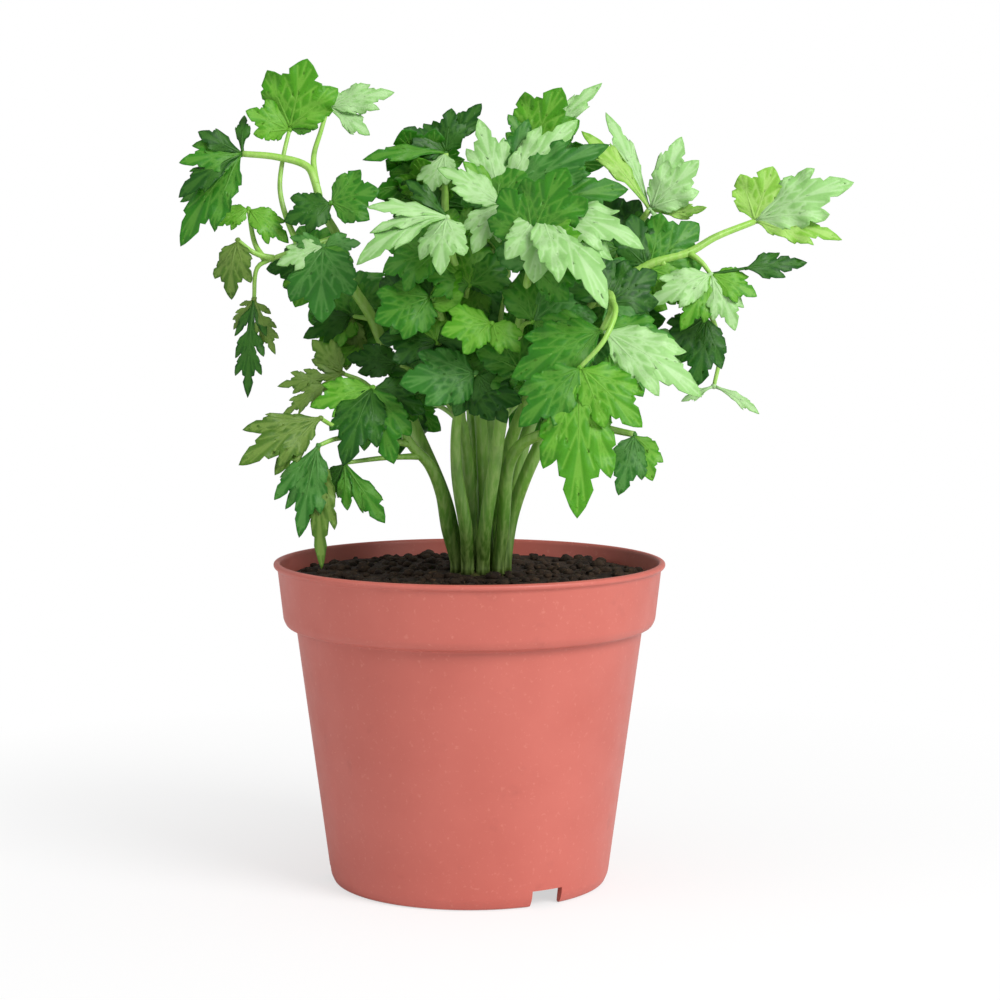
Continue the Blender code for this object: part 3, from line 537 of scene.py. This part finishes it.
def crown_material():
    n = Nodes("crown_bark")
    patch = n.span(n.noise(240.0, 5.0), 0.35, 0.65)
    base = n.mix(patch, linear((40, 30, 18)), linear((84, 86, 38)))
    thread = n.span(n.noise(1100.0, 3.0), 0.6, 0.72, 0.0, 0.5)
    colour = n.mix(thread, base, linear((122, 106, 66)))
    rough = n.span(n.noise(300.0), 0.3, 0.7, 0.7, 0.92)
    normal = n.bump(n.noise(600.0, 5.0, 0.7), 0.8, 0.0006)
    return n.surface(colour, rough, normal, 0.3)


# ---------------------------------------------------------------- meshes

class Build:
    """Collects vertices and faces of one piece; positions in mm from the pot's axis."""

    def __init__(self):
        self.verts, self.faces, self.tones = [], [], []
        self.vein, self.tint = [], []

    def add(self, verts, faces, tone=0, vein=None, tint=0.0):
        start = len(self.verts)
        self.verts.extend(tuple(v) for v in verts)
        self.faces.extend(tuple(i + start for i in f) for f in faces)
        self.tones.extend([tone] * len(faces))
        self.vein.extend(vein if vein is not None else [0.0] * len(verts))
        self.tint.extend([tint] * len(verts))

    def piece(self, name, materials):
        mesh = bpy.data.meshes.new(name)
        mesh.from_pydata([place(v) for v in self.verts], [], self.faces)
        for mat in materials:
            mesh.materials.append(mat)
        mesh.polygons.foreach_set("material_index", self.tones)
        for label, values in (("vein", self.vein), ("tint", self.tint)):
            store = mesh.attributes.new(label, "FLOAT", "POINT")
            store.data.foreach_set("value", values)
        mesh.update()
        mesh.shade_smooth()
        return new_object(name, mesh)


def hermite(points, step):
    """Smooth path through the points, with tangents by chord length."""
    pts = [Vector(p) for p in points]
    t = [0.0]
    for a, b in zip(pts, pts[1:]):
        t.append(t[-1] + (b - a).length)
    last = len(pts) - 1
    slope = []
    for i in range(last + 1):
        a, b = max(i - 1, 0), min(i + 1, last)
        slope.append((pts[b] - pts[a]) / (t[b] - t[a]))
    out = []
    for i in range(last):
        span = t[i + 1] - t[i]
        count = max(2, round(span / step))
        for k in range(count):
            s = k / count
            out.append(
                pts[i] * (2 * s**3 - 3 * s**2 + 1)
                + slope[i] * (span * (s**3 - 2 * s**2 + s))
                + pts[i + 1] * (3 * s**2 - 2 * s**3)
                + slope[i + 1] * (span * (s**3 - s**2))
            )
    out.append(pts[-1])
    return out


def tube(build, path, radius, sides, rib=0.0, tone=0, vein=0.0, tint=0.0):
    """Closed tube along the path; radius is a function of the share of its length."""
    ahead = (path[1] - path[0]).normalized()
    side = ahead.orthogonal().normalized()
    verts, faces = [], []
    last = len(path) - 1
    for i, p in enumerate(path):
        a, b = path[max(i - 1, 0)], path[min(i + 1, last)]
        way = (b - a).normalized()
        side = (side - way * side.dot(way)).normalized()
        up = way.cross(side)
        r = radius(i / last)
        for k in range(sides):
            angle = math.tau * k / sides
            here = r * (1.0 + rib * math.cos(5 * angle))
            verts.append(p + (side * math.cos(angle) + up * math.sin(angle)) * here)
    for i in range(last):
        for k in range(sides):
            m = (k + 1) % sides
            faces.append((i * sides + k, i * sides + m, (i + 1) * sides + m, (i + 1) * sides + k))
    faces.append(tuple(reversed(range(sides))))
    faces.append(tuple(last * sides + k for k in range(sides)))
    build.add(verts, faces, tone, [vein] * len(verts), tint)


def lump(build, centre, size, rng, tone=0, tint=0.0):
    """Small uneven ball."""
    ball = bmesh.new()
    bmesh.ops.create_icosphere(ball, subdivisions=2, radius=1.0)
    shift = Vector((rng.uniform(0, 90), rng.uniform(0, 90), rng.uniform(0, 90)))
    verts = []
    for v in ball.verts:
        grow = 1.0 + 0.35 * noise.noise(v.co * 1.4 + shift)
        verts.append(Vector(centre) + Vector([c * s for c, s in zip(v.co * grow, size)]))
    faces = [tuple(v.index for v in f.verts) for f in ball.faces]
    ball.free()
    build.add(verts, faces, tone, None, tint)


def rounded(points, radius, count=4):
    """Polyline with each inner corner turned into a small curve."""
    pts = [Vector(p) for p in points]
    out = [pts[0]]
    for a, b, c in zip(pts, pts[1:], pts[2:]):
        p = b + (a - b).normalized() * min(radius, (a - b).length * 0.45)
        q = b + (c - b).normalized() * min(radius, (c - b).length * 0.45)
        for k in range(count + 1):
            s = k / count
            out.append(p * (1 - s) ** 2 + b * (2 * s * (1 - s)) + q * s**2)
    out.append(pts[-1])
    return out


def lathe(build, profile, steps, centre=(0.0, 0.0), stretch=1.0, shift=None):
    """Closed solid turned from a profile (radius, height) that starts and ends on the axis."""
    inner = profile[1:-1]
    verts = [Vector((centre[0], centre[1], profile[0][1])),
             Vector((centre[0], centre[1], profile[-1][1]))]
    for r, z in inner:
        for k in range(steps):
            a = math.tau * k / steps
            verts.append(Vector((centre[0] + r * math.cos(a),
                                 centre[1] + r * stretch * math.sin(a), z)))
    if shift:
        verts = [shift(v) for v in verts]
    faces = []
    last = len(inner) - 1
    for k in range(steps):
        m = (k + 1) % steps
        faces.append((0, 2 + m, 2 + k))
        faces.append((1, 2 + last * steps + k, 2 + last * steps + m))
        for i in range(last):
            a, b = 2 + i * steps, 2 + (i + 1) * steps
            faces.append((a + k, a + m, b + m, b + k))
    build.add(verts, faces)


def turn_outward(obj):
    bm = bmesh.new()
    bm.from_mesh(obj.data)
    bmesh.ops.recalc_face_normals(bm, faces=bm.faces)
    bm.to_mesh(obj.data)
    bm.free()


# ---------------------------------------------------------------- leaflets

def swell(s):
    """Half width of a lobe along its length, as a share of the widest."""
    return max(math.sin(math.pi * s**1.1), 0.0) ** 0.75


def lobe(base, tip, half, teeth, depth, rng):
    """Toothed outline of one lobe, and its veins."""
    base, tip = Vector(base), Vector(tip)
    run = tip - base
    out = Vector((-run.y, run.x)).normalized()
    edges, veins = [], [(base, base + run * 0.95)]
    for sign in (1.0, -1.0):
        side = [(0.0, 0.10), (0.18, 0.34)]
        for k in range(teeth):
            s0 = 0.32 + 0.62 * k / teeth
            s1 = 0.32 + 0.62 * (k + 1) / teeth
            grow = rng.uniform(0.9, 1.08)
            side.append((s0, swell(s0) * (1.0 - depth)))
            side.append((s0 + 0.35 * (s1 - s0), swell(s0 + 0.35 * (s1 - s0)) * grow))
            reach = s0 + 0.92 * (s1 - s0)
            side.append((reach, swell(reach) * grow))
            veins.append((base + run * (s0 * 0.72),
                          base + run * (reach - 0.05) + out * (sign * half * swell(reach) * 0.84)))
        side.append((0.965, swell(0.965) * 0.9))
        edges.append([base + run * s + out * (sign * half * h) for s, h in side])
    loop = edges[1] + [tip] + list(reversed(edges[0]))
    return loop, veins


def lobes_of(kind, length, half, rng):
    """Lobes of a leaflet: base, tip, half width, teeth, depth of the teeth."""
    def at(u, v):
        return (u * length, v * half)

    j = rng.uniform
    if kind == "tri":
        plan = [(at(0.02, 0), at(1.0, 0), 0.66, 3, 0.32)]
        for s in (1, -1):
            plan.append((at(0.05, 0), at(j(0.66, 0.74), s * j(0.98, 1.08)), 0.52, 3, 0.32))
            plan.append((at(0.03, 0), at(j(0.38, 0.46), s * j(0.92, 1.04)), 0.36, 2, 0.30))
    elif kind == "oval":
        plan = [(at(0.02, 0), at(1.0, 0), 0.62, 4, 0.26)]
        for s in (1, -1):
            plan.append((at(0.05, 0), at(j(0.70, 0.78), s * j(0.80, 0.88)), 0.46, 3, 0.28))
            plan.append((at(0.03, 0), at(j(0.36, 0.44), s * j(0.88, 0.96)), 0.36, 3, 0.28))
    elif kind == "finger":
        plan = [(at(0.02, 0), at(1.0, 0), 0.88, 3, 0.30)]
        for s in (1, -1):
            plan.append((at(0.18, 0), at(j(0.66, 0.74), s * j(0.90, 0.98)), 0.34, 1, 0.2))
    elif kind == "serr":
        plan = [(at(0.02, 0), at(1.0, 0), 0.52, 4, 0.42)]
        for s in (1, -1):
            for u in (0.34, 0.56, 0.76):
                reach = at(u + j(0.0, 0.05), s * j(0.86, 1.0) * (1.24 - u * 0.5))
                plan.append((at(u - 0.28, 0), reach, 0.30, 2, 0.25))
    else:
        plan = [(at(0.34, 0), at(1.0, 0), 0.62, 3, 0.34)]
        for s in (1, -1):
            plan.append((at(0.36, 0), at(0.74, s * 0.9), 0.44, 2, 0.3))
    return plan


def distance_to(points, segments):
    """Distance of each point from the nearest segment."""
    best = np.full(len(points), 1e9)
    for a, b in segments:
        a, b = np.array(a), np.array(b)
        run = b - a
        s = np.clip(((points - a) @ run) / max(run @ run, 1e-9), 0.0, 1.0)
        best = np.minimum(best, np.linalg.norm(points - (a + s[:, None] * run), axis=1))
    return best


def blade(build, kind, hub, tip, face, width, arch, tone, rng):
    """Thin toothed leaflet from the hub to the tip, bent as its CAD solid is."""
    hub, run = Vector(hub), Vector(tip) - Vector(hub)
    length = run.length
    along = run.normalized()
    normal = Vector(face)
    normal = (normal - along * normal.dot(along)).normalized()
    across = normal.cross(along)
    half = 0.5 * width * length

    flat, edges, loops, veins = [], [], [], []
    for base, end, share, teeth, depth in lobes_of(kind, length, half, rng):
        loop, ribs = lobe(base, end, share * half, teeth, depth, rng)
        loops.append(list(range(len(flat), len(flat) + len(loop))))
        flat += loop
        veins += ribs
    if kind == "stalked":
        neck = [Vector((0, 0.5)), Vector((0, -0.5)), Vector((0.4 * length, -0.45)),
                Vector((0.4 * length, 0.45))]
        loops.append(list(range(len(flat), len(flat) + 4)))
        flat += neck
        veins.append((Vector((0, 0)), Vector((0.4 * length, 0))))
    for a, b in veins:
        count = max(1, round((b - a).length / VEIN_STEP))
        edges += [(len(flat) + k, len(flat) + k + 1) for k in range(count)]
        flat += [a.lerp(b, k / count) for k in range(count + 1)]
    rows = int(2.6 * half / LATTICE) + 1
    for r in range(-rows // 2, rows // 2 + 1):
        for c in range(int(length / LATTICE)):
            flat.append(Vector((
                (c + 0.5 * (r % 2)) * LATTICE + rng.uniform(-0.12, 0.12),
                r * LATTICE * 0.87 + rng.uniform(-0.12, 0.12),
            )))
    found = delaunay_2d_cdt(flat, edges, loops, 1, 1e-4)
    tris = np.array([f for f in found[2] if len(f) == 3])
    used, tris = np.unique(tris, return_inverse=True)
    tris = tris.reshape(-1, 3)
    plane = np.array([tuple(found[0][i]) for i in used])
    near = distance_to(plane, [(tuple(a), tuple(b)) for a, b in veins])

    phase, twist, droop = rng.uniform(0, 6.28), rng.uniform(-TWIST, TWIST), rng.uniform(0.0, DROOP)
    frame_of = np.array([along, across, normal])

    def bend(p, gap):
        u, y = p[:, 0] / length, p[:, 1]
        out = np.abs(y) / half
        lift = arch * length * 4 * u * (1 - u) - CUP * half * out**2
        lift += PUCKER * (1 - np.exp(-((gap / PUCKER_REACH) ** 2)))
        ripple = np.sin(p[:, 0] * WAVE_RATE + phase + (y > 0) * 2.0)
        lift += WAVE * np.minimum(out, 1.2) ** 1.5 * ripple
        lift += y * twist * u - droop * length * u**4
        return np.stack([p[:, 0], y, lift], axis=1) @ frame_of + np.array(hub)

    mid = bend(plane, near)
    facing = np.zeros_like(mid)
    flat_normals = np.cross(mid[tris[:, 1]] - mid[tris[:, 0]], mid[tris[:, 2]] - mid[tris[:, 0]])
    for k in range(3):
        np.add.at(facing, tris[:, k], flat_normals)
    facing /= np.maximum(np.linalg.norm(facing, axis=1), 1e-9)[:, None]
    count = len(mid)
    verts = np.concatenate([mid + facing * BLADE_HALF_T, mid - facing * BLADE_HALF_T])
    faces = [tuple(t) for t in tris.tolist()]
    faces += [(c + count, b + count, a + count) for a, b, c in tris.tolist()]
    seen = set()
    for a, b, c in tris.tolist():
        seen.update(((a, b), (b, c), (c, a)))
    faces += [(b, a, a + count, b + count) for a, b in sorted(seen) if (b, a) not in seen]
    tint = rng.uniform(0.0, 1.0)
    build.add(verts.tolist(), faces, tone, np.concatenate([near, near]).tolist(), tint)

    for a, b in veins[:1] + [v for v in veins if abs(v[0].y) < 1e-6][1:]:
        count = max(3, round((b - a).length / 1.5))
        line = np.array([tuple(a.lerp(b, k / count)) for k in range(count + 1)])
        rib = bend(line, np.zeros(len(line))) - np.array(normal) * RIB_DROP
        thick = 0.52 if (b - a).length > 0.6 * length else 0.26
        tube(build, [Vector(p) for p in rib], lambda s, t=thick: t * (1 - s) + 0.1, 6,
             tone=tone, tint=tint)


# ---------------------------------------------------------------- pieces

def make_leaves(greens):
    for name, hub, face, leaflets in SPRAYS:
        rng = random.Random(name)
        build = Build()
        tones = TONES[name]
        order = sorted(set(tones))
        for (kind, tip, width, arch), tone in zip(leaflets, tones):
            blade(build, kind, hub, tip, face, width, arch, order.index(tone), rng)
        lump(build, hub, (HUB_R,) * 3, rng, order.index(tones[0]), 0.3)
        obj = build.piece(name + "_detail", [greens[t] for t in order])
        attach(obj, "root")
        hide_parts(name)


def make_filler(greens, stem):
    """Small leaflets between the sprays, on short petioles along the middle stalks."""
    for name, foot, route, branches in STALKS:
        if name not in FILL_AT:
            continue
        rng = random.Random("fill " + name)
        path = hermite([(*foot, STALK_FOOT_Z + STALK_RISE), *route], STALK_STEP)
        build = Build()
        for z in FILL_AT[name]:
            start = min(path, key=lambda p: abs(p.z - z))
            out = Vector((start.x - FILL_MIDDLE[0], start.y - FILL_MIDDLE[1], 0.0)).normalized()
            out = (out + Vector((rng.uniform(-0.8, 0.8), rng.uniform(-0.8, 0.4), 0.5))).normalized()
            hub = start + out * rng.uniform(7.0, 12.0)
            bow = start.lerp(hub, 0.5) + Vector((0, 0, 1.0))
            tube(build, hermite([start, bow, hub], 1.5),
                 lambda s: BRANCH_R * 0.9 - 0.4 * s, FILL_SIDES, RIB_DEPTH,
                 len(FILL_TONES), NO_VEIN)
            back = hub.y > FILL_BACK_Y
            face = Vector((rng.uniform(-0.4, 0.4), 0.8 if back else -1.0, rng.uniform(0.2, 0.8)))
            face.normalize()
            level = Vector((0, 0, 1)).cross(face).normalized()
            rise = face.cross(level)
            turn = math.atan2(out.z, out.dot(level)) + rng.uniform(-0.5, 0.5)
            for k, bend in enumerate(FILL_FAN):
                a = turn + bend + rng.uniform(-0.15, 0.15)
                size = rng.uniform(19.0, 25.0) * (1.0 if k == 0 else 0.82)
                tip = hub + (level * math.cos(a) + rise * math.sin(a)) * size
                if tip.z < FILL_LOW_Z:
                    tip.z = 2 * hub.z - tip.z
                blade(build, "tri", hub, tip, face, rng.uniform(0.72, 0.92), 0.08,
                      FILL_TONES.index(rng.choice(FILL_DRAW)), rng)
            lump(build, hub, (FILL_HUB_R,) * 3, rng, 0, 0.3)
        obj = build.piece(name.replace("stalk", "filler"),
                          [greens[tone] for tone in FILL_TONES] + [stem])
        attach(obj, "root")


def make_stalks(stem):
    for name, foot, route, branches in STALKS:
        build = Build()
        start = [(*foot, STALK_FOOT_Z), (*foot, STALK_FOOT_Z + STALK_RISE)]

        def main_radius(s):
            return STALK_R + (STALK_END_R - STALK_R) * max(0.0, s - 0.3) / 0.7

        def arm_radius(s):
            return BRANCH_R + (BRANCH_END_R - BRANCH_R) * s + 0.35 * math.exp(-s * 9)

        tube(build, hermite([*start, *route], STALK_STEP), main_radius, STALK_SIDES, RIB_DEPTH)
        for branch in branches:
            tube(build, hermite(branch, BRANCH_STEP), arm_radius, BRANCH_SIDES, RIB_DEPTH)
        obj = build.piece(name + "_detail", [stem])
        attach(obj, "root")
        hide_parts(name)


def cutter(kind, at, size, angle):
    if kind == "box":
        bpy.ops.mesh.primitive_cube_add(size=1.0)
    else:
        bpy.ops.mesh.primitive_cylinder_add(vertices=40, radius=0.5, depth=1.0)
    tool = bpy.context.object
    turn = Matrix.Translation(place(at)) @ Matrix.Rotation(angle, 4, "Z")
    tool.data.transform(turn @ Matrix.Diagonal([s * MM for s in size] + [1.0]))
    return tool


def make_pot():
    inner_top, inner_low = BAND_TOP_R - WALL, BAND_LOW_R - WALL
    profile = (
        (0.0, FLOOR_Z + FLOOR_T), (BODY_LOW_R - WALL, FLOOR_Z + FLOOR_T),
        (BODY_TOP_R - WALL, BAND_Z - 1.4), (inner_low - 0.4, BAND_Z + 1.6),
        (inner_top, RIM_Z - 2.8), (RIM_R - 2.2, RIM_Z - 0.5), (RIM_R - 1.4, RIM_Z),
        (RIM_R, RIM_Z - 0.5), (RIM_R, RIM_Z - 1.7), (BAND_TOP_R, RIM_Z - 2.5),
        (BAND_LOW_R + 0.2, BAND_Z + 2.2), (BAND_LOW_R - 0.9, BAND_Z),
        (BODY_TOP_R, BAND_Z - 0.6), (BODY_LOW_R, 3.0), (FOOT_R, 0.0), (FOOT_INNER_R, 0.0),
        (BODY_LOW_R - WALL - 0.6, FLOOR_Z), (0.0, FLOOR_Z),
    )
    build = Build()
    lathe(build, [tuple(p) for p in rounded(profile, PROFILE_ROUND)], POT_STEPS)
    pot = build.piece("pot_detail", [pot_material()])
    turn_outward(pot)
    tools = []
    for angle in NOTCH_ANGLES:
        a = math.radians(angle)
        tools.append(cutter("box", (math.cos(a) * CUT_R, math.sin(a) * CUT_R, 0.0),
                            (CUT_DEPTH, NOTCH_W, 2 * NOTCH_H), a))
    for i in range(HOLES):
        a = math.radians(45 + 360 / HOLES * i)
        tools.append(cutter("rod", (math.cos(a) * HOLE_RING_R, math.sin(a) * HOLE_RING_R,
                                    FLOOR_Z + 0.5 * FLOOR_T), (2 * HOLE_R, 2 * HOLE_R, 6.0), 0.0))
    for tool in tools:
        cut = pot.modifiers.new("cut", "BOOLEAN")
        cut.operation = "DIFFERENCE"
        cut.solver = "EXACT"
        cut.object = tool
    graph = bpy.context.evaluated_depsgraph_get()
    mesh = bpy.data.meshes.new_from_object(pot.evaluated_get(graph))
    pot.modifiers.clear()
    pot.data = mesh
    for tool in tools:
        bpy.data.objects.remove(tool, do_unlink=True)
    mesh.shade_smooth()
    mesh.set_sharp_from_angle(angle=SHARP_ANGLE)
    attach(pot, "root")
    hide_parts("pot")


def soil_height(x, y):
    """Uneven soil surface, raised round the crown."""
    near = math.hypot((x - CROWN[0]) / CROWN_RX, (y - CROWN[1]) / CROWN_RY)
    rise = 1.5 * math.exp(-((near / 1.5) ** 2))
    rough = noise.noise(Vector((x, y, 0)) * 0.11) * 1.1
    rough += noise.noise(Vector((x, y, 7)) * 0.42) * 0.6
    return SOIL_Z + rise + rough * min(1.0, (60.0 - math.hypot(x, y)) / 6.0 + 0.2)


def make_soil():
    gap, inner_low = SOIL_GAP, BAND_LOW_R - WALL
    edge = inner_low + 0.3
    profile = [
        (0.0, FLOOR_Z + FLOOR_T + gap), (BODY_LOW_R - WALL - gap, FLOOR_Z + FLOOR_T + gap),
        (BODY_TOP_R - WALL - gap, BAND_Z - 1.2), (inner_low - 0.4 - gap, BAND_Z + 2.0),
        (edge, SOIL_Z - 0.9),
    ]
    profile += [(edge * (1 - k / SOIL_RINGS), SOIL_Z) for k in range(1, SOIL_RINGS + 1)]

    def lift(v):
        if v.z < SOIL_Z - 0.01:
            return v
        return Vector((v.x, v.y, soil_height(v.x, v.y)))

    build = Build()
    lathe(build, profile, SOIL_STEPS, shift=lift)
    rng = random.Random(SOIL_SEED)
    for _ in range(CRUMBS):
        r, a = CRUMB_RING_R * math.sqrt(rng.random()), rng.uniform(0, math.tau)
        x, y = r * math.cos(a), r * math.sin(a)
        s = rng.uniform(0.35, 1.0) ** 2 * 1.9 + 0.35
        if r + s > CRUMB_LIMIT_R:
            continue
        lump(build, (x, y, soil_height(x, y) + s * 0.2),
             (s * rng.uniform(0.8, 1.3), s * rng.uniform(0.8, 1.3), s * 0.7), rng)
    soil = build.piece("soil_detail", [soil_material()])
    turn_outward(soil)
    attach(soil, "root")
    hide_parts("soil")


def make_crown():
    profile = (
        (0.0, ROOT_Z), (ROOT_R, ROOT_Z), (CROWN_RX * 0.62, 88.0), (CROWN_RX, 98.0),
        (CROWN_RX, 101.6), (CROWN_RX - 1.4, CROWN_TOP_Z), (CROWN_RX * 0.66, CROWN_TOP_Z + 0.3),
        (CROWN_RX * 0.33, CROWN_TOP_Z + 0.4), (0.0, CROWN_TOP_Z + 0.4),
    )

    def rough(v):
        return v + Vector((0, 0, 0.45 * noise.noise(v * 0.45))) if v.z > 101 else v

    build = Build()
    lathe(build, [tuple(p) for p in rounded(profile, 1.6, 5)], CROWN_STEPS, CROWN,
          CROWN_RY / CROWN_RX, rough)
    crown = build.piece("crown_detail", [crown_material()])
    turn_outward(crown)
    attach(crown, "root")
    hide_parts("crown")


# ---------------------------------------------------------------- stage

def make_stage():
    mesh = bpy.data.meshes.new("floor")
    corners = ((-1, -1), (1, -1), (1, 1), (-1, 1))
    mesh.from_pydata([(x * FLOOR_HALF, y * FLOOR_HALF, -FLOOR_DROP) for x, y in corners],
                     [], [(0, 1, 2, 3)])
    floor = new_object("floor", mesh)
    n = Nodes("floor_pale")
    tone = n.mix(n.noise(3.0, 2.0), linear((240, 240, 240)), linear((244, 244, 244)))
    rough = n.span(n.noise(2.0), 0.0, 1.0, 0.7, 0.8)
    n.surface(tone, rough, n.bump(n.noise(300.0), 0.02, 0.0001), 0.2)
    # Far from the pot the floor is plain white to the camera; close to it, it keeps the shadow
    reach = n.add("ShaderNodeVectorMath")
    reach.operation = "LENGTH"
    n.link(n.where, reach.inputs[0])
    rays = n.add("ShaderNodeLightPath")
    share = n.add("ShaderNodeMath")
    share.operation = "MULTIPLY"
    n.link(n.span(reach.outputs["Value"], SHADOW_NEAR, SHADOW_FAR, SHADOW_WHITE, 1.0),
           share.inputs[0])
    n.link(rays.outputs["Is Camera Ray"], share.inputs[1])
    white_floor = n.add("ShaderNodeEmission")
    white_floor.inputs["Color"].default_value = (1.0, 1.0, 1.0, 1.0)
    white_floor.inputs["Strength"].default_value = 1.0
    both = n.add("ShaderNodeMixShader")
    n.link(share.outputs[0], both.inputs[0])
    n.link(n.shader.outputs[0], both.inputs[1])
    n.link(white_floor.outputs[0], both.inputs[2])
    n.link(both.outputs[0], n.out.inputs["Surface"])
    mesh.materials.append(n.mat)

    world = bpy.data.worlds.new("studio")
    bpy.context.scene.world = world
    world.use_nodes = True
    tree = world.node_tree
    back = tree.nodes["Background"]
    back.inputs["Color"].default_value = (WORLD_GREY, WORLD_GREY, WORLD_GREY, 1.0)
    back.inputs["Strength"].default_value = WORLD_STRENGTH
    white = tree.nodes.new("ShaderNodeBackground")
    white.inputs["Color"].default_value = (1.0, 1.0, 1.0, 1.0)
    rays = tree.nodes.new("ShaderNodeLightPath")
    pick = tree.nodes.new("ShaderNodeMixShader")
    most = tree.nodes.new("ShaderNodeMath")
    most.operation = "MAXIMUM"
    tree.links.new(rays.outputs["Is Camera Ray"], most.inputs[0])
    tree.links.new(rays.outputs["Is Transmission Ray"], most.inputs[1])
    tree.links.new(most.outputs[0], pick.inputs[0])
    tree.links.new(back.outputs[0], pick.inputs[1])
    tree.links.new(white.outputs[0], pick.inputs[2])
    tree.links.new(pick.outputs[0], tree.nodes["World Output"].inputs["Surface"])


def lamp(name, at, size, watts):
    data = bpy.data.lights.new(name, "AREA")
    data.shape = "DISK"
    data.size = size
    data.energy = watts
    obj = new_object(name, data)
    obj.location = at
    obj.rotation_euler = (Vector(LAMP_AIM) - Vector(at)).to_track_quat("-Z", "Y").to_euler()


def make_camera():
    data = bpy.data.cameras.new("camera")
    data.lens = CAMERA_LENS
    data.sensor_width = 36.0
    data.shift_x = CAMERA_SHIFT_X
    camera = new_object("camera", data)
    camera.location = place(CAMERA_AT)
    camera.rotation_euler = (math.pi / 2 - CAMERA_DOWN, 0.0, 0.0)
    bpy.context.scene.camera = camera


make_pot()
make_soil()
make_crown()
stem_green = stalk_material()
leaf_greens = {tone: leaf_material(tone) for tone in GREENS}
make_stalks(stem_green)
make_leaves(leaf_greens)
make_filler(leaf_greens, stem_green)
make_stage()
lamp("key", (0.95, -0.95, 1.05), 0.9, 27.0)
lamp("fill", (-1.3, -0.6, 0.9), 1.2, 4.0)
make_camera()
bpy.context.scene.view_settings.view_transform = "Standard"
